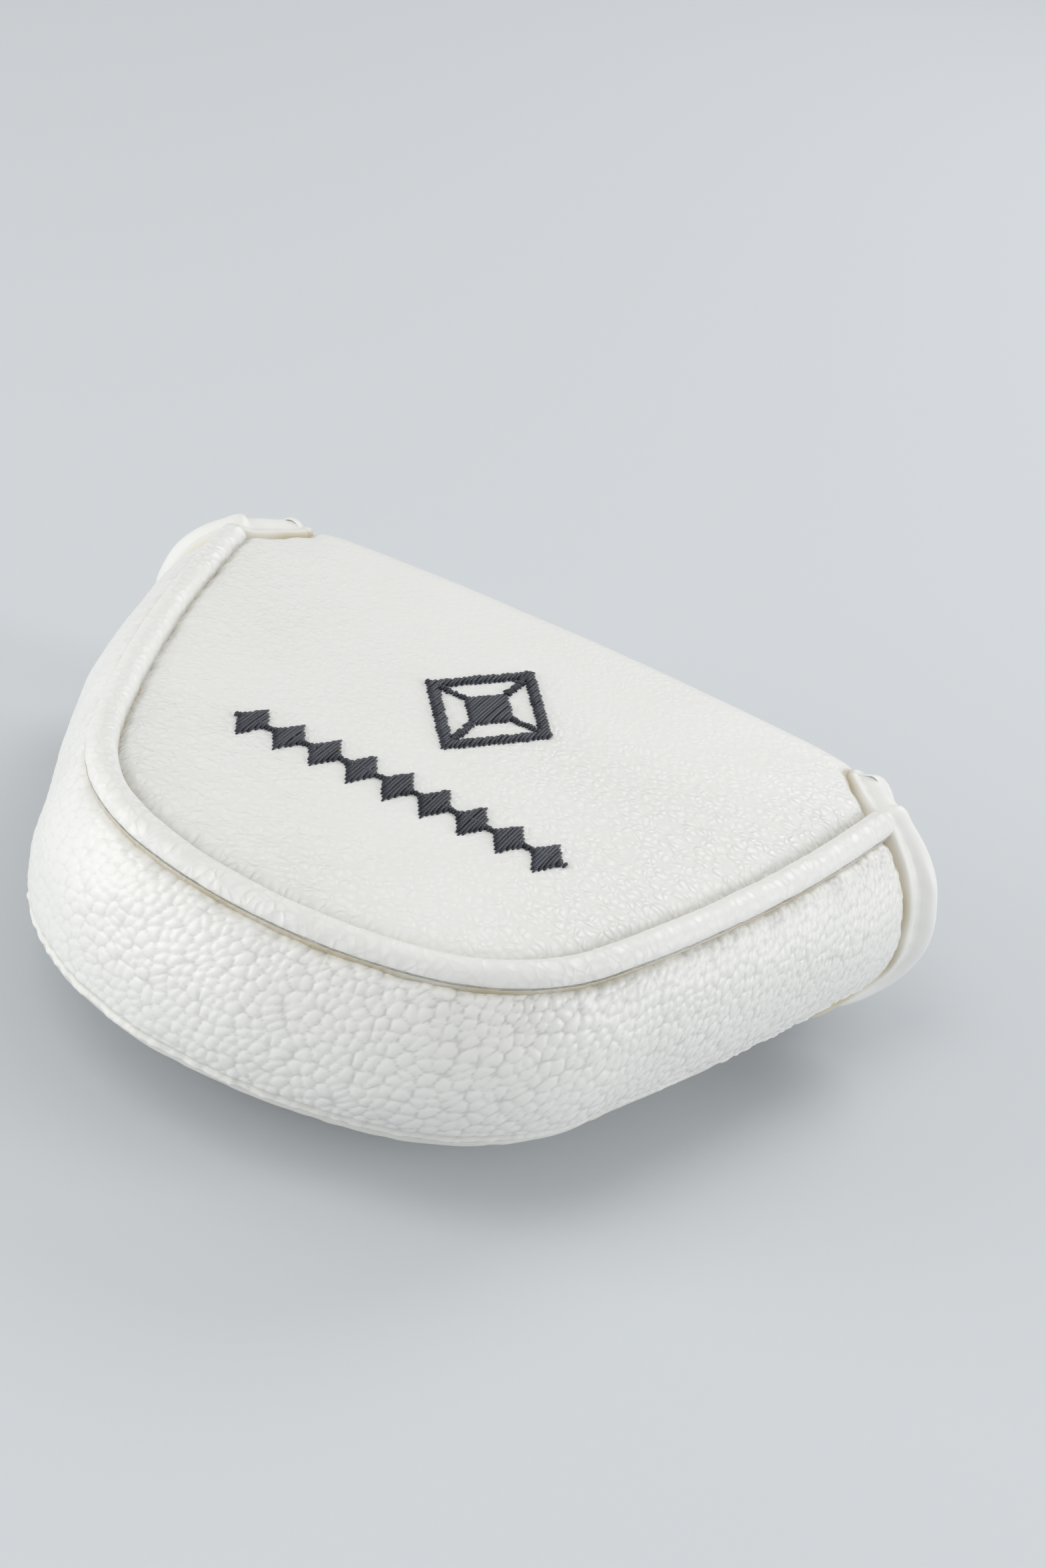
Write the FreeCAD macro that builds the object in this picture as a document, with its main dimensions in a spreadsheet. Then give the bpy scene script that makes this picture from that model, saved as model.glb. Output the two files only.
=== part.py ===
import FreeCAD, Part
import math
import os

import Sketcher

# Head cover for a mallet putter, closed, top panel up.
# The origin is under the middle of the cover: +X runs across it towards the heel,
# +Y points out of the face side, where the flap hangs, and +Z is up.
# Sketches are drawn from the middle of the fold line, on the plane of the panel seam.

DIMENSIONS = {
    # plan outline: three tangent arcs each side, measured at the panel seam
    "panel_depth": 91.4,        # fold line to the seam at the front
    "front_radius": 60.5,
    "front_turn": 17.5,         # degrees turned from straight ahead at each change of arc
    "corner_radius": 28.5,
    "corner_turn": 68.0,
    "side_radius": 281.0,
    "side_turn": 81.46,
    "fold_half_width": 46.4,
    # where the seam plane and the fold line lie in the frame
    "fold_y": 48.5,
    "seam_height": 36.9,
    # leather, foam and lining
    "skin": 1.2,
    "top_foam": 4.0,
    "wall_foam": 3.5,
    "under_foam": 2.5,
    "flap_foam": 3.0,
    "tongue_foam": 1.5,
    "lining": 0.8,
    "play": 0.3,                # half the gap kept at each fold
    "foam_inset": -0.4,
    "lining_inset": -0.8,
    "skin_inset": 0.0,
    # levels above the seam plane
    "top_skin_level": -0.2,
    "top_foam_level": -4.2,
    "top_lining_level": -5.0,
    # piping round the panel
    "piping_middle": 2.75,
    "piping_drop": 0.4,
    "piping_radius": 2.6,
    "cord_radius": 1.5,
    "cord_play": 0.05,
    # section of the gusset: one arc, given by its centre and its ends
    "wall_radius": 23.2,
    "wall_middle": -11.94,      # from the panel seam, outwards
    "wall_drop": 16.9,
    "wall_top_angle": 40.0,
    "wall_low_angle": -17.1,
    # welt between the gusset and the under panel
    "welt_radius": 0.75,
    "welt_middle": 10.3,
    "welt_drop": 24.6,
    # dished under panel: offsets of rim and floor from the seam, and their levels
    "rim_level": -24.0,
    "skin_rim": 9.4,
    "skin_floor": -6.0,
    "skin_floor_level": -30.5,
    "foam_rim": 6.2,
    "foam_floor": -6.2,
    "foam_floor_level": -29.3,
    "lining_rim": -0.4,
    "lining_floor": -6.7,
    "lining_floor_level": -26.8,
    "pocket_rim": -2.5,
    "pocket_floor": -7.0,
    "pocket_floor_level": -26.0,
    # mouth in the under panel: one arc
    "mouth_radius": 124.3,
    "mouth_middle": 81.3,
    # edge bindings
    "binding_width": 4.0,
    "mouth_binding_width": 6.5,
    "corner_binding_width": 5.0,
    "corner_binding_level": -3.6,
    "corner_binding_depth": 4.8,
    "binding_proud": 0.4,
    "binding_round": 1.5,
    # face flap, hung from the fold line
    "flap_top_level": -0.1,
    "flap_shoulder": 52.0,
    "flap_shoulder_drop": 13.0,
    "flap_corner_radius": 14.0,
    "flap_low_level": -32.7,
    # tongue, folded under the cover
    "tongue_half_width": 16.0,
    "tongue_length": 59.0,
    "tongue_end_radius": 10.0,
    "tongue_edge": 2.6,
    # closure patches
    "patch_half_width": 11.0,
    "patch_length": 11.4,
    "patch_radius": 2.0,
    "patch_front": -55.0,
    "loop_thickness": 1.2,
    "hook_thickness": 1.0,
    # embroidery
    "thread": 0.5,
    "crest_middle": -30.5,
    "crest_half_width": 10.5,
    "crest_half_height": 15.5,
    "crest_stroke": 2.2,
    "crest_heart": 0.4,         # the small lozenge, as a share of the crest
    "crest_bar": 0.9,
    "crest_bar_end": 1.0,       # how far a bar stops inside the ring's corner
    "row_middle": -59.5,
    "row_half_width": 26.0,
    "row_half_height": 4.6,
    "row_lozenge": 0.42,        # half the width of a lozenge, as a share of the pitch
    "row_bar": 0.5,
}
ROW_COUNT = 9                   # lozenges in the embroidered row
NEAR = 0.01                     # slack, in millimetres, when edges are picked for rounding
LONG_EDGE = 5.0                 # shorter edges are left sharp


doc = FreeCAD.newDocument("HeadCover")
sheet = doc.addObject("Spreadsheet::Sheet", "Dims")
for row, (word, number) in enumerate(DIMENSIONS.items(), start=1):
    sheet.set("A%d" % row, word)
    sheet.set("B%d" % row, str(number))
    sheet.setAlias("B%d" % row, word)
doc.recompute()


def dim(word):
    return float(sheet.get(word))


def point(x, y):
    return FreeCAD.Vector(x, y, 0)


def turned(angle):
    """Unit vector at an angle in degrees from straight ahead (-Y), turning towards +X."""
    return point(math.sin(math.radians(angle)), -math.cos(math.radians(angle)))


# ---- documents, bodies and sketches -------------------------------------------------

subparts = []


def new_body(label, y_cell="Dims.fold_y", z_cell="Dims.seam_height"):
    body = doc.addObject("PartDesign::Body", label)
    body.Label = label
    body.setExpression("Placement.Base.y", y_cell)
    body.setExpression("Placement.Base.z", z_cell)
    subparts.append(body)
    return body


def new_sketch(body, name, plane="XY_Plane", level=None):
    sketch = body.newObject("Sketcher::SketchObject", body.Label + "_" + name)
    support = next(f for f in body.Origin.OriginFeatures if f.Role == plane)
    sketch.AttachmentSupport = [(support, "")]
    sketch.MapMode = "FlatFace"
    if level:
        sketch.setExpression("AttachmentOffset.Base.z", level)
    return sketch


def ends(curve):
    """Start and end of a curve, as the sketcher counts them (1 and 2)."""
    return ((1, curve.StartPoint), (2, curve.EndPoint))


def draw(sketch, curves, closed=True):
    """Add a chain of curves, joined end to end."""
    first = sketch.GeometryCount
    sketch.addGeometry(curves, False)
    count = len(curves)
    for i in range(count if closed else count - 1):
        j = (i + 1) % count
        here, there = min(
            (((m, p), (n, q)) for m, p in ends(curves[i]) for n, q in ends(curves[j])),
            key=lambda pair: pair[0][1].distanceToPoint(pair[1][1]))
        sketch.addConstraint(
            Sketcher.Constraint("Coincident", first + i, here[0], first + j, there[0]))
    return first


def bind(sketch, kind, item, name, number, expression):
    """A radius or another size of one curve, held by the sheet."""
    index = sketch.addConstraint(Sketcher.Constraint(kind, item, number))
    sketch.renameConstraint(index, name)
    sketch.setExpression("Constraints." + name, expression)


def line(start, end):
    return Part.LineSegment(start, end)


def at_height(start, end, y):
    """Where the straight line through two points reaches a given y in the sketch."""
    return start + (end - start) * ((y - start.y) / (end.y - start.y))


def arc(centre, radius, start, end):
    """Arc of a circle, with angles in degrees from +X, counter-clockwise."""
    circle = Part.Circle(centre, FreeCAD.Vector(0, 0, 1), radius)
    return Part.ArcOfCircle(circle, math.radians(start), math.radians(end))


def polygon(corners):
    return [line(corners[i], corners[(i + 1) % len(corners)]) for i in range(len(corners))]


def pad(body, name, sketch, length, reverse=False):
    feature = body.newObject("PartDesign::Pad", body.Label + "_" + name)
    feature.Profile = sketch
    feature.Reversed = reverse
    feature.setExpression("Length", length)
    return feature


def cut_through(body, name, sketch):
    feature = body.newObject("PartDesign::Pocket", body.Label + "_" + name)
    feature.Profile = sketch
    feature.Type = "ThroughAll"
    feature.Midplane = True
    return feature


def round_edges(body, name, base, cell, chosen):
    """Fillet the edges that the test picks."""
    doc.recompute()
    names = ["Edge%d" % (i + 1) for i, edge in enumerate(base.Shape.Edges) if chosen(edge)]
    feature = body.newObject("PartDesign::Fillet", body.Label + "_" + name)
    feature.Base = (base, names)
    feature.setExpression("Radius", "Dims." + cell)
    return feature


# ---- the plan outline ---------------------------------------------------------------

TURNS = [0.0, dim("front_turn"), dim("corner_turn"), dim("side_turn")]
RADII = [dim("front_radius"), dim("corner_radius"), dim("side_radius")]
RADIUS_CELLS = ["front_radius", "corner_radius", "side_radius"]


def arc_centres():
    centres = [point(0, dim("front_radius") - dim("panel_depth"))]
    for i in (1, 2):
        joint = centres[-1] + turned(TURNS[i]) * RADII[i - 1]
        centres.append(joint - turned(TURNS[i]) * RADII[i])
    return centres


CENTRES = arc_centres()


def half_chain(offset):
    """The three arcs from the middle of the front to the mouth, on the +X side."""
    return [arc(CENTRES[i], RADII[i] + offset, TURNS[i] - 90, TURNS[i + 1] - 90)
            for i in range(3)]


def whole_chain(offset):
    """All the arcs, from the mouth on the -X side round the front to the other."""
    right = half_chain(offset)
    left = [arc(point(-CENTRES[i].x, CENTRES[i].y), RADII[i] + offset,
                -90 - TURNS[i + 1], -90 - TURNS[i]) for i in (2, 1)]
    front = arc(CENTRES[0], RADII[0] + offset, -90 - TURNS[1], -90 + TURNS[1])
    return left + [front] + right[1:]


def bind_chain(sketch, first, offset_cell, cells):
    for i, cell in enumerate(cells):
        radius = sketch.Geometry[first + i].Radius
        expression = "Dims.%s + Dims.%s" % (cell, offset_cell)
        bind(sketch, "Radius", first + i, "radius_%d" % i, radius, expression)


def mouth_end(offset=0.0):
    """Where the outline ends at the mouth, on the +X side."""
    return CENTRES[2] + turned(TURNS[3]) * (RADII[2] + offset)


def outline_sketch(body, name, offset_cell, level=None, corners=()):
    """Closed outline: the arcs, then straight lines through the given corners."""
    sketch = new_sketch(body, name, level=level)
    curves = whole_chain(dim(offset_cell))
    stops = [curves[-1].EndPoint] + list(corners) + [curves[0].StartPoint]
    curves += [line(a, b) for a, b in zip(stops, stops[1:])]
    first = draw(sketch, curves)
    cells = ["side_radius", "corner_radius", "front_radius", "corner_radius", "side_radius"]
    bind_chain(sketch, first, offset_cell, cells)
    return sketch


def spine_sketch(body, offset_cell):
    sketch = new_sketch(body, "spine")
    first = draw(sketch, half_chain(dim(offset_cell)), closed=False)
    bind_chain(sketch, first, offset_cell, RADIUS_CELLS)
    return sketch


def mirror(body, feature):
    """Repeat a half on the other side of the middle plane."""
    doc.recompute()
    mirrored = body.newObject("PartDesign::Mirrored", body.Label + "_mirror")
    mirrored.Originals = [feature]
    plane = next(f for f in body.Origin.OriginFeatures if f.Role == "YZ_Plane")
    mirrored.MirrorPlane = (plane, [""])
    body.Tip = mirrored


# ---- top panel ----------------------------------------------------------------------

def top_panel(label, offset_cell, level_cell, thickness_cell):
    body = new_body(label)
    half = dim("fold_half_width") + dim(offset_cell)
    corners = [point(half, -dim("play")), point(-half, -dim("play"))]
    sketch = outline_sketch(body, "outline", offset_cell, "Dims." + level_cell, corners)
    pad(body, "pad", sketch, "Dims." + thickness_cell)


top_panel("top_panel_skin", "skin_inset", "top_skin_level", "skin")
top_panel("top_panel_foam", "foam_inset", "top_foam_level", "top_foam")
top_panel("top_panel_lining", "lining_inset", "top_lining_level", "lining")


# ---- swept pieces: piping, gusset and welt ------------------------------------------

def front_point(offset, drop):
    """Place in the section plane at the middle of the front: outwards is -Y there."""
    return point(-dim("panel_depth") - offset, -drop)


def sweep(label, spine_cell, draw_section):
    body = new_body(label)
    spine = spine_sketch(body, spine_cell)
    section = new_sketch(body, "section", "YZ_Plane")
    draw_section(section)
    doc.recompute()
    pipe = body.newObject("PartDesign::AdditivePipe", label + "_sweep")
    pipe.Profile = section
    pipe.Spine = (spine, [""])
    mirror(body, pipe)


def ring_section(middle_cell, drop_cell, radius, hole=0.0, radius_cell="", hole_cell=""):
    def draw_section(sketch):
        centre = front_point(dim(middle_cell), dim(drop_cell))
        normal = FreeCAD.Vector(0, 0, 1)
        outer = sketch.addGeometry(Part.Circle(centre, normal, radius), False)
        bind(sketch, "Radius", outer, "outer", radius, radius_cell)
        if hole:
            inner = sketch.addGeometry(Part.Circle(centre, normal, hole), False)
            bind(sketch, "Radius", inner, "inner", hole, hole_cell)
    return draw_section


def wall_section(outer_depth, inner_depth, outer_cell, inner_cell):
    """A slice of the gusset, between two depths below its outer face."""
    def draw_section(sketch):
        centre = front_point(dim("wall_middle"), dim("wall_drop"))
        start = 180 - dim("wall_top_angle")
        end = 180 - dim("wall_low_angle")
        outer = arc(centre, dim("wall_radius") - outer_depth, start, end)
        inner = arc(centre, dim("wall_radius") - inner_depth, start, end)
        low = line(outer.EndPoint, inner.EndPoint)
        high = line(inner.StartPoint, outer.StartPoint)
        first = draw(sketch, [outer, low, inner, high])
        bind(sketch, "Radius", first, "outer", outer.Radius, outer_cell)
        bind(sketch, "Radius", first + 2, "inner", inner.Radius, inner_cell)
    return draw_section


sweep("piping_cover", "piping_middle",
      ring_section("piping_middle", "piping_drop", dim("piping_radius"), dim("cord_radius"),
                   "Dims.piping_radius", "Dims.cord_radius"))
sweep("piping_cord", "piping_middle",
      ring_section("piping_middle", "piping_drop", dim("cord_radius") - dim("cord_play"),
                   radius_cell="Dims.cord_radius - Dims.cord_play"))

SKIN_DEPTH = dim("skin")
FOAM_DEPTH = SKIN_DEPTH + dim("wall_foam")
LINING_DEPTH = FOAM_DEPTH + dim("lining")
WALL = "Dims.wall_radius"
WALL_SKIN = WALL + " - Dims.skin"
WALL_FOAM = WALL_SKIN + " - Dims.wall_foam"
WALL_LINING = WALL_FOAM + " - Dims.lining"

sweep("gusset_skin", "skin_inset", wall_section(0, SKIN_DEPTH, WALL, WALL_SKIN))
sweep("gusset_foam", "skin_inset", wall_section(SKIN_DEPTH, FOAM_DEPTH, WALL_SKIN, WALL_FOAM))
sweep("gusset_lining", "skin_inset",
      wall_section(FOAM_DEPTH, LINING_DEPTH, WALL_FOAM, WALL_LINING))
sweep("under_seam_welt", "welt_middle",
      ring_section("welt_middle", "welt_drop", dim("welt_radius"),
                   radius_cell="Dims.welt_radius"))


# ---- dished under panel -------------------------------------------------------------

def circle_sketch(body, name, cells):
    """Circles about the middle of the mouth arc, with radii from the sheet."""
    sketch = new_sketch(body, name)
    centre = point(0, dim("mouth_middle"))
    for i, (radius, expression) in enumerate(cells):
        item = sketch.addGeometry(Part.Circle(centre, FreeCAD.Vector(0, 0, 1), radius), False)
        bind(sketch, "Radius", item, "mouth_%d" % i, radius, expression)
    return sketch


def loft(body, kind, name, layer, shift=""):
    """Ruled solid between the rim and the floor of one layer of the dish."""
    rim = outline_sketch(body, name + "_rim", layer + "_rim", "Dims.rim_level" + shift)
    floor_level = "Dims.%s_floor_level%s" % (layer, shift)
    floor = outline_sketch(body, name + "_floor", layer + "_floor", floor_level)
    doc.recompute()
    feature = body.newObject("PartDesign::" + kind, body.Label + "_" + name)
    feature.Profile = rim
    feature.Sections = [floor]
    feature.Ruled = True
    return feature


MOUTH = (dim("mouth_radius"), "Dims.mouth_radius")


def dish(label, outer_layer, inner_layer):
    body = new_body(label)
    loft(body, "AdditiveLoft", "outer", outer_layer)
    loft(body, "SubtractiveLoft", "inner", inner_layer)
    doc.recompute()
    cut_through(body, "mouth", circle_sketch(body, "mouth_arc", [MOUTH]))


dish("under_panel_skin", "skin", "foam")
dish("under_panel_foam", "foam", "lining")
dish("under_panel_lining", "lining", "pocket")


def under_binding():
    """Edge binding that follows the mouth arc over the dished panel."""
    body = new_body("under_panel_binding")
    loft(body, "AdditiveLoft", "outer", "skin", " - Dims.binding_proud")
    loft(body, "SubtractiveLoft", "inner", "pocket", " + Dims.binding_proud")
    doc.recompute()
    lip = dim("mouth_radius") - dim("binding_width")
    inside = circle_sketch(body, "lip", [(lip, "Dims.mouth_radius - Dims.binding_width")])
    cut_through(body, "lip_cut", inside)
    beyond = dim("mouth_radius") * 3
    ring = circle_sketch(body, "rest", [MOUTH, (beyond, "Dims.mouth_radius * 3")])
    cut_through(body, "rest_cut", ring)


under_binding()


# ---- bindings at the mouth ----------------------------------------------------------

def mouth_binding(side, hand):
    """Rounded band in front of one end of the gusset; hand is +1 at +X."""
    body = new_body("mouth_binding_" + side, "Dims.fold_y", "Dims.seam_height")
    sketch = new_sketch(body, "section", "XZ_Plane")
    centre = point(hand * dim("wall_middle"), -dim("wall_drop"))
    outer_radius = dim("wall_radius") + dim("binding_proud")
    inner_radius = dim("wall_radius") - LINING_DEPTH - dim("binding_proud")
    angles = (dim("wall_low_angle"), dim("wall_top_angle"))
    if hand < 0:
        angles = (180 - angles[1], 180 - angles[0])
    outer = arc(centre, outer_radius, *angles)
    inner = arc(centre, inner_radius, *angles)
    loop = [outer, line(outer.EndPoint, inner.EndPoint), inner,
            line(inner.StartPoint, outer.StartPoint)]
    first = draw(sketch, loop)
    bind(sketch, "Radius", first, "outer", outer_radius, WALL + " + Dims.binding_proud")
    bind(sketch, "Radius", first + 2, "inner", inner_radius,
         WALL_LINING + " - Dims.binding_proud")
    band = pad(body, "band", sketch, "Dims.mouth_binding_width", reverse=True)
    far = dim("mouth_binding_width")
    round_edges(body, "rounding", band, "binding_round",
                lambda edge: edge.BoundBox.YMin > far - NEAR
                and edge.BoundBox.ZLength > LONG_EDGE)
    spot = mouth_end()
    body.setExpression("Placement.Base.x", "%d * (%.4f)" % (hand, spot.x))
    body.setExpression("Placement.Base.y", "Dims.fold_y + (%.4f)" % spot.y)
    body.setExpression("Placement.Rotation.Angle", "%d * (Dims.side_turn - 90)" % hand)


mouth_binding("right", 1)
mouth_binding("left", -1)


def corner_binding(side, hand):
    """Band along the slanting corner of the top panel, from the piping to the fold."""
    body = new_body("corner_binding_" + side)
    sketch = new_sketch(body, "band", level="Dims.corner_binding_level")
    low = mouth_end()
    high = point(dim("fold_half_width"), -dim("play"))
    along = (high - low).normalize()
    out = point(along.y, -along.x) * dim("corner_binding_width")
    corners = [low, low + out, at_height(low + out, high + out, high.y), high]
    corners = [point(hand * p.x, p.y) for p in corners]
    draw(sketch, polygon(corners))
    band = pad(body, "pad", sketch, "Dims.corner_binding_depth")
    edge_x = [abs(p.x) for p in corners[1:3]]
    round_edges(body, "rounding", band, "binding_round",
                lambda edge: edge.BoundBox.ZLength < NEAR
                and abs(edge.BoundBox.XLength - abs(edge_x[0] - edge_x[1])) < NEAR
                and max(abs(edge.BoundBox.XMin), abs(edge.BoundBox.XMax)) > edge_x[0] - NEAR)


corner_binding("right", 1)
corner_binding("left", -1)


# ---- face flap ----------------------------------------------------------------------

def tangent_angle(centre, radius, spot, turn):
    """Angle at which a line from the spot touches a circle; turn picks the side."""
    reach = spot - centre
    angle = math.atan2(reach.y, reach.x) + turn * math.acos(radius / reach.Length)
    return math.degrees(angle)


def flap_edge(margin):
    """Side of the flap on the +X side, from the fold to the tongue, moved out by a margin."""
    top = dim("flap_top_level")
    fold = point(dim("fold_half_width"), top)
    neck = point(dim("tongue_half_width"), dim("flap_low_level"))
    radius = dim("flap_corner_radius")
    centre = point(dim("flap_shoulder") - radius, top - dim("flap_shoulder_drop"))
    low = tangent_angle(centre, radius, neck, 1)
    high = tangent_angle(centre, radius, fold, -1)
    corner = arc(centre, radius + margin, low, high)
    fold = at_height(corner.EndPoint, fold + turned(high + 90) * margin, fold.y)
    neck = at_height(corner.StartPoint, neck + turned(low + 90) * margin, neck.y)
    return [line(fold, corner.EndPoint), corner, line(corner.StartPoint, neck)]


def across(curve):
    """The same curve on the -X side."""
    if isinstance(curve, Part.LineSegment):
        a, b = curve.StartPoint, curve.EndPoint
        return line(point(-a.x, a.y), point(-b.x, b.y))
    start = 180 - math.degrees(curve.LastParameter)
    end = 180 - math.degrees(curve.FirstParameter)
    return arc(point(-curve.Center.x, curve.Center.y), curve.Radius, start, end)


def flap_layer(label, back_cell, thickness_cell):
    """One layer of the flap, built outwards from its back face."""
    body = new_body(label, "Dims.fold_y + " + back_cell)
    sketch = new_sketch(body, "outline", "XZ_Plane")
    right = flap_edge(0)
    left = [across(curve) for curve in reversed(right)]
    low = line(right[-1].EndPoint, point(-right[-1].EndPoint.x, right[-1].EndPoint.y))
    high = line(point(-right[0].StartPoint.x, right[0].StartPoint.y), right[0].StartPoint)
    first = draw(sketch, right + [low] + left + [high])
    bind(sketch, "Radius", first + 1, "corner", right[1].Radius, "Dims.flap_corner_radius")
    pad(body, "pad", sketch, "Dims." + thickness_cell, reverse=True)


flap_layer("flap_lining", "Dims.play", "lining")
flap_layer("flap_foam", "Dims.play + Dims.lining", "flap_foam")
flap_layer("flap_skin", "Dims.play + Dims.lining + Dims.flap_foam", "skin")


def flap_binding(side, hand):
    body = new_body("flap_binding_" + side, "Dims.fold_y + Dims.play")
    sketch = new_sketch(body, "band", "XZ_Plane")
    inner = flap_edge(0)
    outer = flap_edge(dim("binding_width"))
    if hand < 0:
        inner = [across(curve) for curve in inner]
        outer = [across(curve) for curve in outer]
    top = line(inner[0].StartPoint, outer[0].StartPoint)
    low = line(outer[-1].EndPoint, inner[-1].EndPoint)
    draw(sketch, [top] + outer + [low] + list(reversed(inner)))
    depth = "Dims.lining + Dims.flap_foam + Dims.skin + Dims.binding_proud"
    band = pad(body, "pad", sketch, depth, reverse=True)

    def on_outer_rim(edge):
        middle = edge.valueAt((edge.FirstParameter + edge.LastParameter) / 2)
        spot = Part.Vertex(point(middle.x, middle.z))
        near = min(curve.toShape().distToShape(spot)[0] for curve in outer)
        return near < NEAR and edge.BoundBox.YLength < NEAR

    round_edges(body, "rounding", band, "binding_round", on_outer_rim)


flap_binding("right", 1)
flap_binding("left", -1)


# ---- tongue -------------------------------------------------------------------------

def tongue_edge_curves(margin):
    """U-shaped edge of the tongue, moved out by a margin, from +X round the end to -X."""
    half = dim("tongue_half_width") + margin
    end = -dim("tongue_length") - margin
    radius = dim("tongue_end_radius") + margin
    right = arc(point(half - radius, end + radius), radius, -90, 0)
    left = arc(point(radius - half, end + radius), radius, 180, 270)
    return [line(point(half, 0), right.EndPoint), right,
            line(right.StartPoint, left.EndPoint), left,
            line(left.StartPoint, point(-half, 0))]


TONGUE_BASE = "Dims.binding_proud"


def tongue_layer(label, base, thickness_cell):
    body = new_body(label, z_cell=base)
    sketch = new_sketch(body, "outline")
    curves = tongue_edge_curves(0)
    curves.append(line(curves[-1].EndPoint, curves[0].StartPoint))
    first = draw(sketch, curves)
    bind(sketch, "Radius", first + 1, "end", curves[1].Radius, "Dims.tongue_end_radius")
    pad(body, "pad", sketch, "Dims." + thickness_cell)


tongue_layer("tongue_skin", TONGUE_BASE, "skin")
tongue_layer("tongue_foam", TONGUE_BASE + " + Dims.skin", "tongue_foam")
tongue_layer("tongue_lining", TONGUE_BASE + " + Dims.skin + Dims.tongue_foam", "lining")


def tongue_binding():
    body = new_body("tongue_binding", z_cell="0")
    sketch = new_sketch(body, "band")
    inner = tongue_edge_curves(0)
    outer = tongue_edge_curves(dim("tongue_edge"))
    loop = [line(inner[0].StartPoint, outer[0].StartPoint)] + outer
    loop.append(line(outer[-1].EndPoint, inner[-1].EndPoint))
    draw(sketch, loop + list(reversed(inner)))
    depth = "Dims.skin + Dims.tongue_foam + Dims.lining + Dims.binding_proud * 2"
    band = pad(body, "pad", sketch, depth)
    limit = dim("tongue_half_width") + dim("tongue_edge") - NEAR
    end = -dim("tongue_length") - dim("tongue_edge") + NEAR

    def on_outer_rim(edge):
        box = edge.BoundBox
        wide = max(abs(box.XMin), abs(box.XMax)) > limit
        return box.ZLength < NEAR and (wide and box.YLength > LONG_EDGE or box.YMin < end)

    round_edges(body, "rounding", band, "binding_round", on_outer_rim)


tongue_binding()


# ---- closure patches ----------------------------------------------------------------

def patch(label, z_cell, thickness_cell):
    body = new_body(label, z_cell=z_cell)
    sketch = new_sketch(body, "outline")
    half, radius = dim("patch_half_width"), dim("patch_radius")
    low = dim("patch_front")
    high = low + dim("patch_length")
    corners = [arc(point(half - radius, low + radius), radius, -90, 0),
               arc(point(half - radius, high - radius), radius, 0, 90),
               arc(point(radius - half, high - radius), radius, 90, 180),
               arc(point(radius - half, low + radius), radius, 180, 270)]
    loop = []
    for i in range(4):
        loop += [corners[i], line(corners[i].EndPoint, corners[(i + 1) % 4].StartPoint)]
    first = draw(sketch, loop)
    for i in range(4):
        bind(sketch, "Radius", first + 2 * i, "round_%d" % i, radius, "Dims.patch_radius")
    pad(body, "pad", sketch, "Dims." + thickness_cell)


patch("hook_patch", TONGUE_BASE + " + Dims.skin + Dims.tongue_foam + Dims.lining",
      "hook_thickness")
patch("loop_patch", "Dims.seam_height + Dims.skin_floor_level - Dims.loop_thickness",
      "loop_thickness")


# ---- embroidery ---------------------------------------------------------------------

TOP_FACE = "Dims.seam_height + Dims.top_skin_level + Dims.skin"


def lozenge(middle, half_width, half_height):
    return [middle + point(0, half_height), middle + point(-half_width, 0),
            middle + point(0, -half_height), middle + point(half_width, 0)]


def crest():
    """Tall lozenge ring with a small one inside it, held by a cross of fine bars."""
    body = new_body("crest_embroidery", z_cell=TOP_FACE)
    middle = point(0, dim("crest_middle"))
    wide, tall = dim("crest_half_width"), dim("crest_half_height")
    scale = 1 - dim("crest_stroke") / wide
    ring = new_sketch(body, "ring")
    draw(ring, polygon(lozenge(middle, wide, tall)))
    draw(ring, polygon(lozenge(middle, wide * scale, tall * scale)))
    pad(body, "ring_pad", ring, "Dims.thread")
    small = dim("crest_heart")
    heart = new_sketch(body, "heart")
    draw(heart, polygon(lozenge(middle, wide * small, tall * small)))
    pad(body, "heart_pad", heart, "Dims.thread")
    bar = dim("crest_bar") / 2
    stop = dim("crest_bar_end")
    for name, half_x, half_y in (("across", wide - stop, bar), ("along", bar, tall - stop)):
        sketch = new_sketch(body, name)
        corners = [middle + point(sx * half_x, sy * half_y)
                   for sx, sy in ((-1, -1), (1, -1), (1, 1), (-1, 1))]
        draw(sketch, polygon(corners))
        pad(body, name + "_pad", sketch, "Dims.thread")


def lozenge_row():
    """Row of lozenges threaded on one fine line."""
    body = new_body("row_embroidery", z_cell=TOP_FACE)
    middle = point(0, dim("row_middle"))
    half = dim("row_half_width")
    bar = dim("row_bar") / 2
    sketch = new_sketch(body, "line")
    draw(sketch, polygon([middle + point(-half, -bar), middle + point(half, -bar),
                          middle + point(half, bar), middle + point(-half, bar)]))
    pad(body, "line_pad", sketch, "Dims.thread")
    pitch = 2 * half / ROW_COUNT
    size = pitch * dim("row_lozenge")
    for i in range(ROW_COUNT):
        spot = middle + point(-half + pitch * (i + 0.5), 0)
        shape = new_sketch(body, "lozenge_%d" % i)
        draw(shape, polygon(lozenge(spot, size, dim("row_half_height"))))
        pad(body, "lozenge_pad_%d" % i, shape, "Dims.thread")


crest()
lozenge_row()


# ---- check and write ----------------------------------------------------------------

doc.recompute()
for item in doc.Objects:
    if "Invalid" in item.State or "Error" in item.State:
        raise RuntimeError("failed: %s %s" % (item.Name, item.State))
for body in subparts:
    if body.Shape.isNull() or not body.Shape.isValid() or len(body.Shape.Solids) != 1:
        raise RuntimeError("bad shape: %s" % body.Label)

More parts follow.
